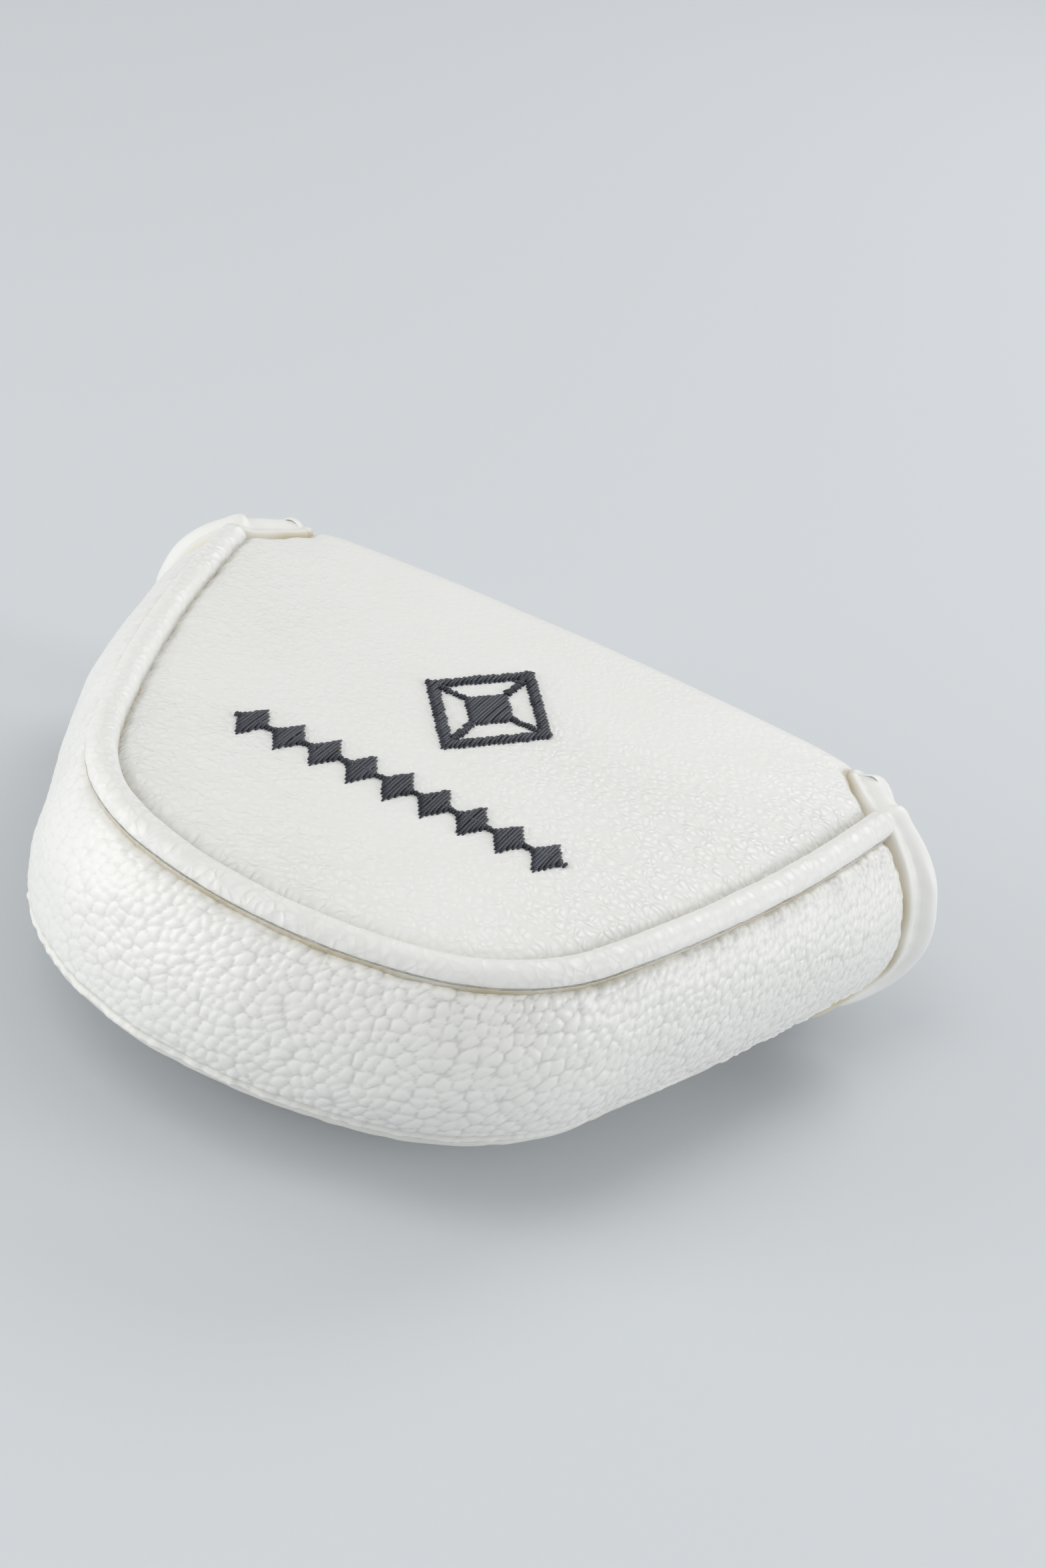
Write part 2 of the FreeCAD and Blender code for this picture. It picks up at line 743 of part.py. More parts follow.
os.makedirs("parts", exist_ok=True)
for body in subparts:
    body.Shape.exportStep(os.path.join("parts", body.Label + ".step"))
    box = body.Shape.BoundBox
    print("%-22s %9.1f mm3  x %6.1f %6.1f  y %6.1f %6.1f  z %6.1f %6.1f" % (
        body.Label, body.Shape.Volume, box.XMin, box.XMax, box.YMin, box.YMax,
        box.ZMin, box.ZMax))
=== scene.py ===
import math

import bpy
import numpy as np
from mathutils import Matrix, Vector


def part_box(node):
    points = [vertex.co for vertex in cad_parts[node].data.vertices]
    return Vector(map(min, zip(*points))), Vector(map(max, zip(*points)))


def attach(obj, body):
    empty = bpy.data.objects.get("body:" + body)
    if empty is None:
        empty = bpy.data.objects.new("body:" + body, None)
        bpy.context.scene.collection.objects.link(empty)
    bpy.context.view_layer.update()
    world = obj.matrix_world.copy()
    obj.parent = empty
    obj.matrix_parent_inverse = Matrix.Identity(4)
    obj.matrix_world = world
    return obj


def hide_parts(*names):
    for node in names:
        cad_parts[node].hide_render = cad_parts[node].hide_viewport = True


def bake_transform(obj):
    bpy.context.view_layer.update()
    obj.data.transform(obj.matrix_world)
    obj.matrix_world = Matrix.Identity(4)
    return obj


# Looks of a putter head cover: white pebbled leather pads, smooth piping and bindings,
# satin-stitched embroidery, fleece lining and a hook-and-loop closure.
# Lengths are in millimetres, in the frame's directions, measured from the middle of the
# fold line on the plane of the panel seam; to_frame() turns them into metres.

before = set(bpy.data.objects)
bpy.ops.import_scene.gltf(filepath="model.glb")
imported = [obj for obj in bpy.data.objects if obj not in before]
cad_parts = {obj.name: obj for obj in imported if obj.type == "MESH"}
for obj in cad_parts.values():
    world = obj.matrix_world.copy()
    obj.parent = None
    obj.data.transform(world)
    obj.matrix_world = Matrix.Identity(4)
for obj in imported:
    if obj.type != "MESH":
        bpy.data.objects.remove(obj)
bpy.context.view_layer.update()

MM = 0.001
X, Y, Z = 0, 1, 2
PLAY = 0.3                      # half the gap that the frame keeps at each fold
TOP = 1.0                       # the top leather over the plane of the seam
FOLD_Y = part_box("top_panel_skin")[1].y / MM + PLAY
SEAM_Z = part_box("top_panel_skin")[1].z / MM - TOP
ORIGIN = np.array([0.0, FOLD_Y, SEAM_Z])


def to_frame(points):
    return (np.asarray(points, float) + ORIGIN) * MM


def low(node, axis):
    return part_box(node)[0][axis] / MM - ORIGIN[axis]


def high(node, axis):
    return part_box(node)[1][axis] / MM - ORIGIN[axis]


def middle_and_half(node, axis):
    """Middle of a node's box along an axis, and half its length."""
    first, last = low(node, axis), high(node, axis)
    return (first + last) / 2, (last - first) / 2


# plan outline of the panel seam: three tangent arcs each side
FRONT_Y = low("top_panel_skin", Y)
RADII = np.array([60.5, 28.5, 281.0])
TURNS = np.radians([0.0, 17.5, 68.0, 81.46])
REACHES = np.concatenate([[0.0], np.cumsum(RADII * np.diff(TURNS))])
END = REACHES[-1]               # from the middle of the front to the mouth, along the seam
FOLD_HALF = 46.4                # half the fold line, between its corners

# levels of the layers
TOP_LINING = high("top_panel_lining", Z)
FACE_Y = high("flap_skin", Y)
FLAP_LINING = high("flap_lining", Y)
FLAP_LOW = low("flap_lining", Z)
UNDER_Z = low("under_panel_skin", Z)
TONGUE_Z = low("tongue_skin", Z) + 0.25       # its crowned leather stays off the floor
TONGUE_LINING = low("tongue_lining", Z)
TONGUE_HALF = high("tongue_skin", X)
TONGUE_END = low("tongue_skin", Y)
TIP_RADIUS = 10.0               # round corners of the tongue's tip
LINING = 0.8
PAD_WALL = 4.7
PAD_UNDER = 3.6

# gusset section: one arc about this centre, as an offset from the seam and a level
WALL_RADIUS = 23.2
WALL_IN = -11.94
WALL_Z = -16.9
WALL_HIGH = math.radians(46.5)
WALL_LOW = math.radians(-17.1)
WALL_DEPTH = WALL_RADIUS * (WALL_HIGH - WALL_LOW)

# mouth arc in the under panel
MOUTH_RADIUS = 124.3
MOUTH_Y = 81.3

# leather rolls over the folds, and the seam of tongue and flap on the flap's face
ROLL = FACE_Y
LOW_ROLL = 4.0
STRAP_SEAM_Z = -28.5

STEP = 0.5                      # spacing of the leather's vertices
FINE_STEP = 0.29                # the same where the pebbles are modelled
STITCH_PITCH = 3.3
STITCH_RADIUS = 0.22
MOUTH_BACK = 1.0                # how far the gusset's end seam lies back from the piping's


# ---- helpers and noise ----

def grid(a, b):
    return np.meshgrid(a, b, indexing="ij")


def columns(*values):
    return np.stack(values, 1)


def both_ways(reach, step):
    """Even places from -reach to reach, one of them at zero."""
    count = int(reach / step)
    return np.arange(-count, count + 1) * step


def distances(points):
    """Length along a line of points up to each of them."""
    return np.concatenate([[0], np.cumsum(np.linalg.norm(np.diff(points, axis=0), axis=1))])


def between(wanted, far, values):
    """Each column of values, known at the distances far, at the wanted distances."""
    return np.stack([np.interp(wanted, far, column) for column in values.T], 1)


def units(vectors):
    return vectors / np.linalg.norm(vectors, axis=-1, keepdims=True)


def smooth(x, start=0.0, end=1.0):
    t = np.clip((np.asarray(x, float) - start) / (end - start), 0.0, 1.0)
    return t * t * (3 - 2 * t)


def hashed(i, j, seed):
    """Repeatable number from 0 to 1 for each lattice cell."""
    n = (i.astype(np.int64) * 374761393 + j.astype(np.int64) * 668265263
         + seed * 982451653) & 0x7FFFFFFF
    n = ((n ^ (n >> 13)) * 1274126177) & 0x7FFFFFFF
    return ((n ^ (n >> 16)) & 0xFFFFFF) / float(0x1000000)


def noise(x, y, cell, seed):
    """Smooth value noise from -1 to 1."""
    u, v = np.broadcast_arrays(np.asarray(x, float) / cell, np.asarray(y, float) / cell)
    i, j = np.floor(u), np.floor(v)
    a, b = smooth(u - i), smooth(v - j)
    near = hashed(i, j, seed) * (1 - a) + hashed(i + 1, j, seed) * a
    far = hashed(i, j + 1, seed) * (1 - a) + hashed(i + 1, j + 1, seed) * a
    return (near * (1 - b) + far * b) * 2 - 1


def pebbles(x, y, cell, seed, stretch=1.0):
    """Leather grain: pillowed cells, about 1 on top and 0 in the creases between them."""
    u = np.asarray(x, float) / cell + 0.25 * noise(x, y, cell * 2.4, seed + 7)
    v = np.asarray(y, float) / (cell * stretch) + 0.25 * noise(x, y, cell * 2.4, seed + 8)
    i, j = np.floor(u), np.floor(v)
    first, second = np.full(u.shape, 9.0), np.full(u.shape, 9.0)
    for di in (-1, 0, 1):
        for dj in (-1, 0, 1):
            px = i + di + 0.5 + 0.85 * (hashed(i + di, j + dj, seed) - 0.5)
            py = j + dj + 0.5 + 0.85 * (hashed(i + di, j + dj, seed + 1) - 0.5)
            far = np.hypot(u - px, v - py)
            second = np.minimum(second, np.maximum(first, far))
            first = np.minimum(first, far)
    pillow = 1.0 - (1.0 - np.clip((second - first) / 0.65, 0, 1)) ** 2
    return 0.55 * pillow + 0.45 * (1.0 - np.clip(first, 0, 1) ** 2)


def hump(x, width, power=2.0):
    """Falls from 1 at zero to nothing a few widths away."""
    return np.exp(-(np.abs(x) / width) ** power)


# ---- meshes ----

def add_object(name, data):
    piece = bpy.data.objects.new(name, data)
    bpy.context.scene.collection.objects.link(piece)
    return piece


def make_mesh(name, points, faces, material, uv, marks=None):
    """One object from points in millimetres; uv and marks are per point."""
    mesh = bpy.data.meshes.new(name)
    mesh.from_pydata(to_frame(points).tolist(), [], [tuple(f) for f in faces])
    layer = mesh.uv_layers.new(name="UVMap")
    index = np.zeros(len(mesh.loops), np.int32)
    mesh.loops.foreach_get("vertex_index", index)
    layer.data.foreach_set("uv", np.asarray(uv, np.float32)[index].ravel())
    for word, values in (marks or {}).items():
        attribute = mesh.attributes.new(word, "FLOAT", "POINT")
        attribute.data.foreach_set("value", np.asarray(values, np.float32))
    mesh.polygons.foreach_set("use_smooth", np.ones(len(mesh.polygons), bool))
    mesh.materials.append(material)
    return add_object(name, mesh)


def settle(piece, carrier, nodes=()):
    """Attach a piece to its body, or only bake its place when a fold is given; hide the model's
    nodes it stands for.
    """
    if isinstance(carrier, tuple):
        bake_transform(piece)
    else:
        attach(piece, carrier)
    if nodes:
        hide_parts(*nodes)


def clipped_grid(us, vs, keep):
    """Cells of a regular grid whose four corners are all kept; returns u, v and quads."""
    u, v = grid(us, vs)
    cell = keep[:-1, :-1] & keep[1:, :-1] & keep[1:, 1:] & keep[:-1, 1:]
    used = np.zeros_like(keep)
    for di, dj in ((0, 0), (1, 0), (1, 1), (0, 1)):
        used[di:di + cell.shape[0], dj:dj + cell.shape[1]] |= cell
    index = np.full(keep.shape, -1)
    index[used] = np.arange(used.sum())
    i, j = np.nonzero(cell)
    quads = np.stack([index[i, j], index[i + 1, j], index[i + 1, j + 1], index[i, j + 1]], 1)
    return u[used], v[used], quads


def closed_sheet(name, upper, lower, quads, material, marks=None, uv=None):
    """Closed pad between two matching surfaces; uv is taken from above if not given."""
    uv = upper[:, :2] if uv is None else uv
    count = len(upper)
    edges = np.concatenate([quads[:, [k, (k + 1) % 4]] for k in range(4)])
    keys = np.sort(edges, axis=1)
    keys = keys[:, 0] * count + keys[:, 1]
    _, first, times = np.unique(keys, return_index=True, return_counts=True)
    rim = edges[first[times == 1]]
    walls = np.stack([rim[:, 1], rim[:, 0], rim[:, 0] + count, rim[:, 1] + count], 1)
    faces = np.concatenate([quads, quads[:, ::-1] + count, walls])
    both = {word: np.concatenate([m, m]) for word, m in (marks or {}).items()}
    return make_mesh(name, np.concatenate([upper, lower]), faces, material,
                     np.concatenate([uv, uv]), both)


def tube_faces(n, m, first=0):
    """Quads and end caps of a tube of n rings with m points each."""
    i, j = grid(np.arange(n - 1), np.arange(m))
    a, b = (i * m + j).ravel() + first, (i * m + (j + 1) % m).ravel() + first
    faces = columns(a, b, b + m, a + m).tolist()
    faces.append([first + k for k in reversed(range(m))])
    faces.append([first + (n - 1) * m + k for k in range(m)])
    return faces


def tube(name, rings, material, marks=None):
    """Closed sweep through rings of points, capped at both ends."""
    n, m = rings.shape[:2]
    along, around = distances(rings.mean(1)), distances(rings[n // 2])
    uv = columns(np.repeat(along, m), np.tile(around, n))
    per_point = {word: v.reshape(-1) for word, v in (marks or {}).items()}
    return make_mesh(name, rings.reshape(-1, 3), tube_faces(n, m), material, uv, per_point)


def strands(name, paths, radius, material, sides=6, flat=1.0):
    """Threads: a thin closed tube along each (points, up), each in its own tone."""
    points, faces, uv, tones = [], [], [], []
    first = 0
    pick = np.random.default_rng(len(paths))
    angles = np.linspace(0, 2 * math.pi, sides, endpoint=False)
    for path, up in paths:
        tangent = units(np.gradient(path, axis=0))
        across = units(np.cross(tangent, up))
        rise = np.cross(across, tangent)
        taper = np.ones(len(path))
        taper[[0, -1]] = 0.45
        size = (radius * taper)[:, None, None]
        rings = (path[:, None] + size * across[:, None] * np.cos(angles)[None, :, None]
                 + size * flat * rise[:, None] * np.sin(angles)[None, :, None])
        faces += tube_faces(len(path), sides, first)
        first += len(path) * sides
        points.append(rings.reshape(-1, 3))
        tones.append(np.full(len(path) * sides, pick.uniform()))
        uv.append(columns(np.repeat(distances(path), sides),
                          np.tile(angles * radius, len(path))))
    return make_mesh(name, np.concatenate(points), faces, material, np.concatenate(uv),
                     {"tone": np.concatenate(tones)})


# ---- materials ----

def new_material(name, colour, roughness, specular=0.5):
    material = bpy.data.materials.new(name)
    material.use_nodes = True
    shader = material.node_tree.nodes["Principled BSDF"]
    shader.inputs["Base Color"].default_value = (*colour, 1.0)
    shader.inputs["Roughness"].default_value = roughness
    shader.inputs["Specular IOR Level"].default_value = specular
    return material, Nodes(material.node_tree), shader


class Nodes:
    """Short calls for building a node tree; inputs are numbers, colours or sockets."""

    def __init__(self, tree):
        self.tree = tree

    def put(self, socket, value):
        if isinstance(value, bpy.types.NodeSocket):
            self.tree.links.new(value, socket)
        elif isinstance(value, tuple) and len(value) < len(socket.default_value):
            socket.default_value = (*value, 1.0)
        else:
            socket.default_value = value

    def wire(self, node, inputs):
        for key, value in inputs.items():
            self.put(node.inputs[key], value)

    def node(self, kind, inputs, **settings):
        node = self.tree.nodes.new(kind)
        for key, value in settings.items():
            setattr(node, key, value)
        self.wire(node, inputs)
        return node

    def uv(self):
        return self.node("ShaderNodeUVMap", {}, uv_map="UVMap").outputs["UV"]

    def mark(self, word):
        return self.node("ShaderNodeAttribute", {}, attribute_name=word).outputs["Fac"]

    def maths(self, operation, a, b=0.0):
        return self.node("ShaderNodeMath", {0: a, 1: b}, operation=operation).outputs[0]

    def vector(self, operation, a, b):
        return self.node("ShaderNodeVectorMath", {0: a, 1: b}, operation=operation).outputs[0]

    def blend(self, amount, a, b):
        node = self.node("ShaderNodeMixRGB", {"Fac": amount, "Color1": a, "Color2": b})
        return node.outputs["Color"]

    def range(self, value, low_in, high_in, low_out, high_out, kind="LINEAR"):
        node = self.node("ShaderNodeMapRange", {
            "Value": value, "From Min": low_in, "From Max": high_in,
            "To Min": low_out, "To Max": high_out}, interpolation_type=kind)
        return node.outputs["Result"]

    def noise(self, place, scale, detail=2.0, rough=0.5, out="Fac"):
        node = self.node("ShaderNodeTexNoise", {
            "Vector": place, "Scale": scale, "Detail": detail, "Roughness": rough})
        return node.outputs[out]

    def bump(self, height, distance, normal=None):
        inputs = {"Height": height, "Strength": 1.0, "Distance": distance * MM}
        if normal is not None:
            inputs["Normal"] = normal
        return self.node("ShaderNodeBump", inputs).outputs["Normal"]


def pebble_height(nodes, place, cell):
    """Leather grain: domed cells with soft creases, warped so that no two look alike."""
    warp = nodes.vector("SUBTRACT", nodes.noise(place, 0.5 / cell, 0.0, 0.5, "Color"),
                        (0.5, 0.5, 0.5))
    moved = nodes.vector("ADD", nodes.vector("MULTIPLY", place, (1 / cell, 1 / cell, 0.0)),
                         nodes.vector("MULTIPLY", warp, (1.2, 1.2, 0.0)))
    far = nodes.node("ShaderNodeTexVoronoi", {"Vector": moved, "Scale": 1.0,
                                              "Smoothness": 0.35},
                     feature="SMOOTH_F1").outputs["Distance"]
    edge = nodes.node("ShaderNodeTexVoronoi", {"Vector": moved, "Scale": 1.0},
                      feature="DISTANCE_TO_EDGE").outputs["Distance"]
    dome = nodes.range(far, 0.1, 0.75, 1.0, 0.0, "SMOOTHSTEP")
    crease = nodes.range(edge, -0.05, 0.3, 0.0, 1.0, "SMOOTHSTEP")
    return nodes.maths("ADD", dome, nodes.maths("MULTIPLY", crease, 0.6))


WHITE = (0.835, 0.835, 0.815)
WHITE_SHADE = (0.795, 0.795, 0.77)
# painted shade: the colour that the creases between the pebbles are darkened towards
PAINTED_CREASE_SHADE = tuple(c * 0.80 for c in WHITE_SHADE)
# brown of the seams: real staining at the seams, and painted shade in the ditches along them and
# under the piping
SEAM_STAIN_AND_SHADE = (0.50, 0.42, 0.24)
PORE = 0.012                    # depth of the leather's pores


def leather(name, roughness, cell=0.0, depth=0.0):
    """Coated leather: faint tone changes, stained seams that also carry painted shade in their
    ditches, fine pores and, given a cell size, pebbles with painted shade in their creases; a
    mark called crease paints shade into the creases of modelled pebbles."""
    material, nodes, shader = new_material(name, WHITE, roughness)
    place = nodes.uv()
    tone = nodes.blend(nodes.noise(place, 0.08, 3.0), WHITE, WHITE_SHADE)
    pores = nodes.noise(place, 4.5, 3.0, 0.6)
    if cell:
        height = pebble_height(nodes, place, cell)
        strength = nodes.mark("rough")
        raised = nodes.maths("MULTIPLY", height, strength)
        # painted shade: the pebbles' creases are darkened towards the crease shade colour
        painted_crease_shade = nodes.maths("MULTIPLY", nodes.range(height, 0.1, 0.8, 0.35, 0.0), strength)
        tone = nodes.blend(painted_crease_shade, tone, PAINTED_CREASE_SHADE)
        normal = nodes.bump(raised, depth)
        gloss = nodes.range(height, 0.3, 1.5, roughness + 0.14, roughness - 0.06)
    else:
        # painted shade in the creases of modelled pebbles, from the mark called crease
        tone = nodes.blend(nodes.mark("crease"), tone, PAINTED_CREASE_SHADE)
        normal = nodes.bump(nodes.noise(place, 1.1, 2.0), 0.03)
        gloss = nodes.range(pores, 0.3, 0.7, roughness - 0.05, roughness + 0.07)
    # the seam mark tints towards brown: real staining at the seams, and painted shade in their
    # ditches
    stained_and_shaded = nodes.blend(nodes.mark("seam"), tone, SEAM_STAIN_AND_SHADE)
    nodes.wire(shader, {"Base Color": stained_and_shaded, "Roughness": gloss,
                        "Normal": nodes.bump(pores, PORE, normal)})
    return material


def cloth(name, colour, shade, grain, depth, sheen=0.5):
    """Brushed fabric: mottled nap with a soft sheen."""
    material, nodes, shader = new_material(name, colour, 0.95, 0.2)
    nap = nodes.noise(nodes.uv(), grain, 5.0, 0.7)
    nodes.wire(shader, {"Base Color": nodes.blend(nap, shade, colour),
                        "Normal": nodes.bump(nap, depth), "Sheen Weight": sheen})
    return material


def thread(name, colour, shade, roughness, specular):
    """Twisted thread: fine diagonal plies along each strand, in bumps and in painted shade
    between the plies.
    """
    material, nodes, shader = new_material(name, colour, roughness, specular)
    ply = nodes.node("ShaderNodeTexWave", {"Vector": nodes.uv(), "Scale": 1.4,
                                           "Distortion": 0.6},
                     bands_direction="DIAGONAL").outputs["Fac"]
    # each strand's own random tone, darkened in the grooves between the plies: painted shade
    light = nodes.maths("MULTIPLY", nodes.mark("tone"), nodes.range(ply, 0, 1, 0.6, 1.0))
    nodes.wire(shader, {"Base Color": nodes.blend(light, shade, colour),
                        "Normal": nodes.bump(ply, 0.02)})
    return material


panel_leather = leather("pebbled_leather", 0.42, 1.25, 0.17)
piping_leather = leather("piping_leather", 0.40, 1.5, 0.12)
wall_leather = leather("coarse_leather", 0.37)
trim_leather = leather("smooth_leather", 0.42)
fleece = cloth("fleece_lining", (0.085, 0.09, 0.10), (0.045, 0.048, 0.055), 1.4, 0.5)
tape = cloth("closure_tape", (0.74, 0.74, 0.72), (0.55, 0.55, 0.53), 2.5, 0.2)
dark_thread = thread("dark_thread", (0.050, 0.056, 0.078), (0.010, 0.012, 0.020), 0.40, 0.5)
white_thread = thread("white_thread", (0.82, 0.81, 0.79), (0.75, 0.74, 0.72), 0.6, 0.4)


# ---- outlines and sections ----

def arc_centres():
    centres = [np.array([0.0, FRONT_Y + RADII[0]])]
    for k in (1, 2):
        out = np.array([math.sin(TURNS[k]), -math.cos(TURNS[k])])
        centres.append(centres[-1] + out * (RADII[k - 1] - RADII[k]))
    return np.array(centres)


CENTRES = arc_centres()


def seam(s):
    """Points of the panel seam and outward directions, s from the middle of the front."""
    s = np.asarray(s, float)
    reach = np.abs(s)
    turn = np.interp(reach, REACHES, TURNS) + np.maximum(reach - END, 0) / RADII[2]
    k = np.clip(np.searchsorted(REACHES, reach, side="right") - 1, 0, 2)
    side = np.where(s < 0, -1.0, 1.0)
    out = np.stack([np.sin(turn) * side, -np.cos(turn)], -1)
    centre = CENTRES[k] * np.stack([side, np.ones_like(side)], -1)
    return centre + out * RADII[k][..., None], out


def beside_seam(spot, out, offset, level):
    """Points this far out from places on the panel seam, at this level."""
    return np.concatenate([spot + out * offset[..., None], level[..., None]], -1)


def on_wall(s, depth, radius, extra=0.0):
    """Point of the gusset and its normal; depth runs down its section from the top."""
    spot, out = seam(s)
    angle = WALL_HIGH - np.asarray(depth, float) / WALL_RADIUS
    offset = WALL_IN + (radius + extra) * np.cos(angle)
    level = WALL_Z + (radius + extra) * np.sin(angle)
    normal = beside_seam(0.0, out, np.cos(angle), np.sin(angle))
    return beside_seam(spot, out, offset, level), normal


def wall_swell(s, depth):
    """The stuffed gusset is fullest towards the mouth and drawn in at front and corners."""
    fullness = np.interp(s, [-END, -100, -75, -62, -45, -22, 0, 22, 50, 75, 100, END],
                         [0.9, 0.9, 0.4, -0.8, -2.6, -1.2, -0.8, -0.7, -1.9, -1.1, 0.3, 0.9])
    drawn = np.interp(s, [-END, -60, -30, -10, 10, 25, 50, 80, END],
                      [0.1, 0.6, 0.0, -0.5, 0.9, 1.5, 2.0, 1.6, 0.3])
    down = np.clip(depth / WALL_DEPTH, 0, 1)
    return fullness * np.sin(np.pi * np.clip(down * 0.85, 0, 1)) ** 0.7 - drawn * down ** 4


def bent(u, start, ahead, turning, radius):
    """Line, quarter turn and line: u gives y, z and the outer normal's y, z.

    The turn begins at start, where u is 0, going ahead; it ends going the other way given.
    """
    u = np.asarray(u, float)
    angle = np.clip(u / radius, 0, math.pi / 2)
    before, after = np.minimum(u, 0), np.maximum(u - radius * math.pi / 2, 0)
    ahead, turning, start = (np.array(v, float) for v in (ahead, turning, start))
    normal = (np.sin(angle)[..., None] * ahead - np.cos(angle)[..., None] * turning)
    place = (start + radius * turning + radius * normal
             + before[..., None] * ahead + after[..., None] * turning)
    return place[..., 0], place[..., 1], normal[..., 0], normal[..., 1]


def lifted(x, line, lift):
    """Points of a sheet bent along a line from bent(), moved out of it by a lift."""
    y, z, ny, nz = line
    return np.stack([x, y + ny * lift, z + nz * lift], -1)


ROLL_LENGTH = ROLL * math.pi / 2
LOW_ROLL_LENGTH = LOW_ROLL * math.pi / 2


def over_fold(t):
    """The outer leather: back along the top, over the fold and down the flap."""
    return bent(t, (0.0, TOP), (1, 0), (0, -1), ROLL)


def under_fold(t):
    """The fleece of top and flap, with its own tight turn."""
    return bent(t, (FLAP_LINING - LINING, TOP_LINING), (1, 0), (0, -1), LINING)


def over_low_fold(u):
    """The outer leather of the tongue: down the flap and forwards under the cover."""
    return bent(u, (FACE_Y + 0.5, TONGUE_Z + LOW_ROLL), (0, -1), (-1, 0), LOW_ROLL)


def drop_to_t(drop):
    """Distance over the fold at which the leather has come down this far from the top."""
    return np.where(drop < ROLL, ROLL * np.arccos(np.clip(1 - drop / ROLL, 0, 1)),
                    ROLL_LENGTH + drop - ROLL)


def flap_side(corner=14.0):
    """Side edge of the flap on the +X side from the fold to the tongue, as x, t."""
    centre = np.array([high("flap_skin", X) - corner, 13.1])
    fold, neck = np.array([FOLD_HALF, -high("flap_skin", Z)]), np.array([TONGUE_HALF, -FLAP_LOW])

    def touch(spot, turn):
        reach = spot - centre
        return math.atan2(reach[1], reach[0]) + turn * math.acos(corner / np.hypot(*reach))
    angles = np.linspace(touch(fold, 1), touch(neck, -1), 40)
    bend = centre + corner * columns(np.cos(angles), np.sin(angles))
    drops = np.concatenate([bend, [neck]])
    return np.concatenate([[(FOLD_HALF, 0.0)],
                           np.stack([drops[:, 0], drop_to_t(drops[:, 1] + TOP)], 1)])


def resample(points, step):
    far = distances(points)
    wanted = np.linspace(0, far[-1], max(2, int(far[-1] / step) + 1))
    return between(wanted, far, points)


def from_edge(x, y, edge):
    """Distance in from a half outline (mirrored in x), and the distance along it."""
    step = 0.4
    line = resample(edge, step)
    tangent = np.gradient(line, axis=0)
    px = np.abs(x)
    nearest = np.full(np.shape(x), 1e9)
    along = np.zeros(np.shape(x))
    side = np.zeros(np.shape(x))
    for k in range(len(line)):
        dx, dy = px - line[k, 0], y - line[k, 1]
        far = dx * dx + dy * dy
        closer = far < nearest
        nearest = np.where(closer, far, nearest)
        along = np.where(closer, k * step, along)
        side = np.where(closer, tangent[k, 0] * dy - tangent[k, 1] * dx, side)
    return np.sqrt(nearest) * np.sign(side), np.where(x < 0, -along, along)


SEAM_EDGE, _ = seam(np.linspace(0, END, 240))
FLAP_SIDE = flap_side()
EDGE = np.concatenate([SEAM_EDGE, FLAP_SIDE])      # the unrolled leather, as x, t
STRAP_SEAM_T = float(drop_to_t(np.array(TOP - STRAP_SEAM_Z)))

# where pieces bend at the two folds, for the leather outside and the fleece inside
FOLD_BEND = ("cover", "face_flap", tuple(to_frame([0, -3.5, 2.0])),
             tuple(to_frame([0, 4.5, -6.0])))
INNER_FOLD_BEND = ("cover", "face_flap", tuple(to_frame([0, -2.0, -4.2])),
                   tuple(to_frame([0, 1.2, -7.4])))
LOW_FOLD_BEND = ("face_flap", "flap_tongue", tuple(to_frame([0, 4.5, -30.0])),
                 tuple(to_frame([0, -2.0, -36.5])))


# ---- top panel and flap: one sheet of leather over the fold ----

def panel_relief(x, t):
    """Height of the panel leather over its base, its grain strength, and its seam staining with
    painted shade in the ditch.
    """
    d, along = from_edge(x, t, EDGE)
    inside = np.maximum(d, 0)
    swell = 1.3 * (1 - np.exp(-inside / 7.0)) + 0.5 * smooth(d, 0, 45)
    at_fold = smooth(t, -9, 0)
    tuck = (1.2 - 0.5 * at_fold) * hump(inside, 1.0, 1.4)
    near = hump(inside, 2.6, 1.0)
    pucker = near * (0.26 * noise(along, d * 0.25, 2.4, 11)
                     + 0.16 * noise(along, d * 0.2, 1.2, 12))
    lift = swell - tuck + pucker + 0.10 * noise(x, t, 11, 23)
    rough = (0.42 + 0.58 * hump(inside, 9.0, 1.0)) * (1 - 0.5 * smooth(t, -30, 0))
    rough = rough * (0.8 + 0.4 * noise(x, t, 17, 22))
    # seam staining at the panel's edge, which is also painted shade in the ditch along the seam
    stain_and_shade = 0.62 * hump(np.maximum(d + 0.1, 0), 0.5) * (0.62 + 0.38 * noise(along, d, 6, 24))
    return lift, rough, stain_and_shade


def leather_panel():
    xs = both_ways(high("flap_skin", X) + 4, STEP)
    ts = np.arange(FRONT_Y - 2.0, STRAP_SEAM_T + 2, STEP)
    grid_x, grid_t = grid(xs, ts)
    deep, _ = from_edge(grid_x, grid_t, EDGE)
    x, t, quads = clipped_grid(xs, ts, deep > -1.3)
    lift, rough, stain_and_shade = panel_relief(x, t)
    upper = lifted(x, over_fold(t), lift)
    top_pad, flap_pad = TOP - TOP_LINING, FACE_Y - FLAP_LINING
    pad = top_pad + (flap_pad - top_pad) * smooth(t, 0, ROLL_LENGTH)
    at_fold = smooth(t, -12, -4) * (1 - smooth(t, ROLL_LENGTH + 4, ROLL_LENGTH + 12))
    pad = pad * (1 - 0.6 * at_fold)      # thinner where it bends, to stay behind the lining
    lower = lifted(x, over_fold(t), -pad + 0.05)
    piece = closed_sheet("panel_leather", upper, lower, quads, panel_leather,
                         {"seam": stain_and_shade, "rough": rough}, columns(x, t))
    settle(piece, FOLD_BEND,
           ["top_panel_skin", "top_panel_foam", "flap_skin", "flap_foam"])


leather_panel()


# ---- piping ----

PIPING_RADIUS = 2.25
PIPING_OFFSET = 2.35
PIPING_LEVEL = -0.35


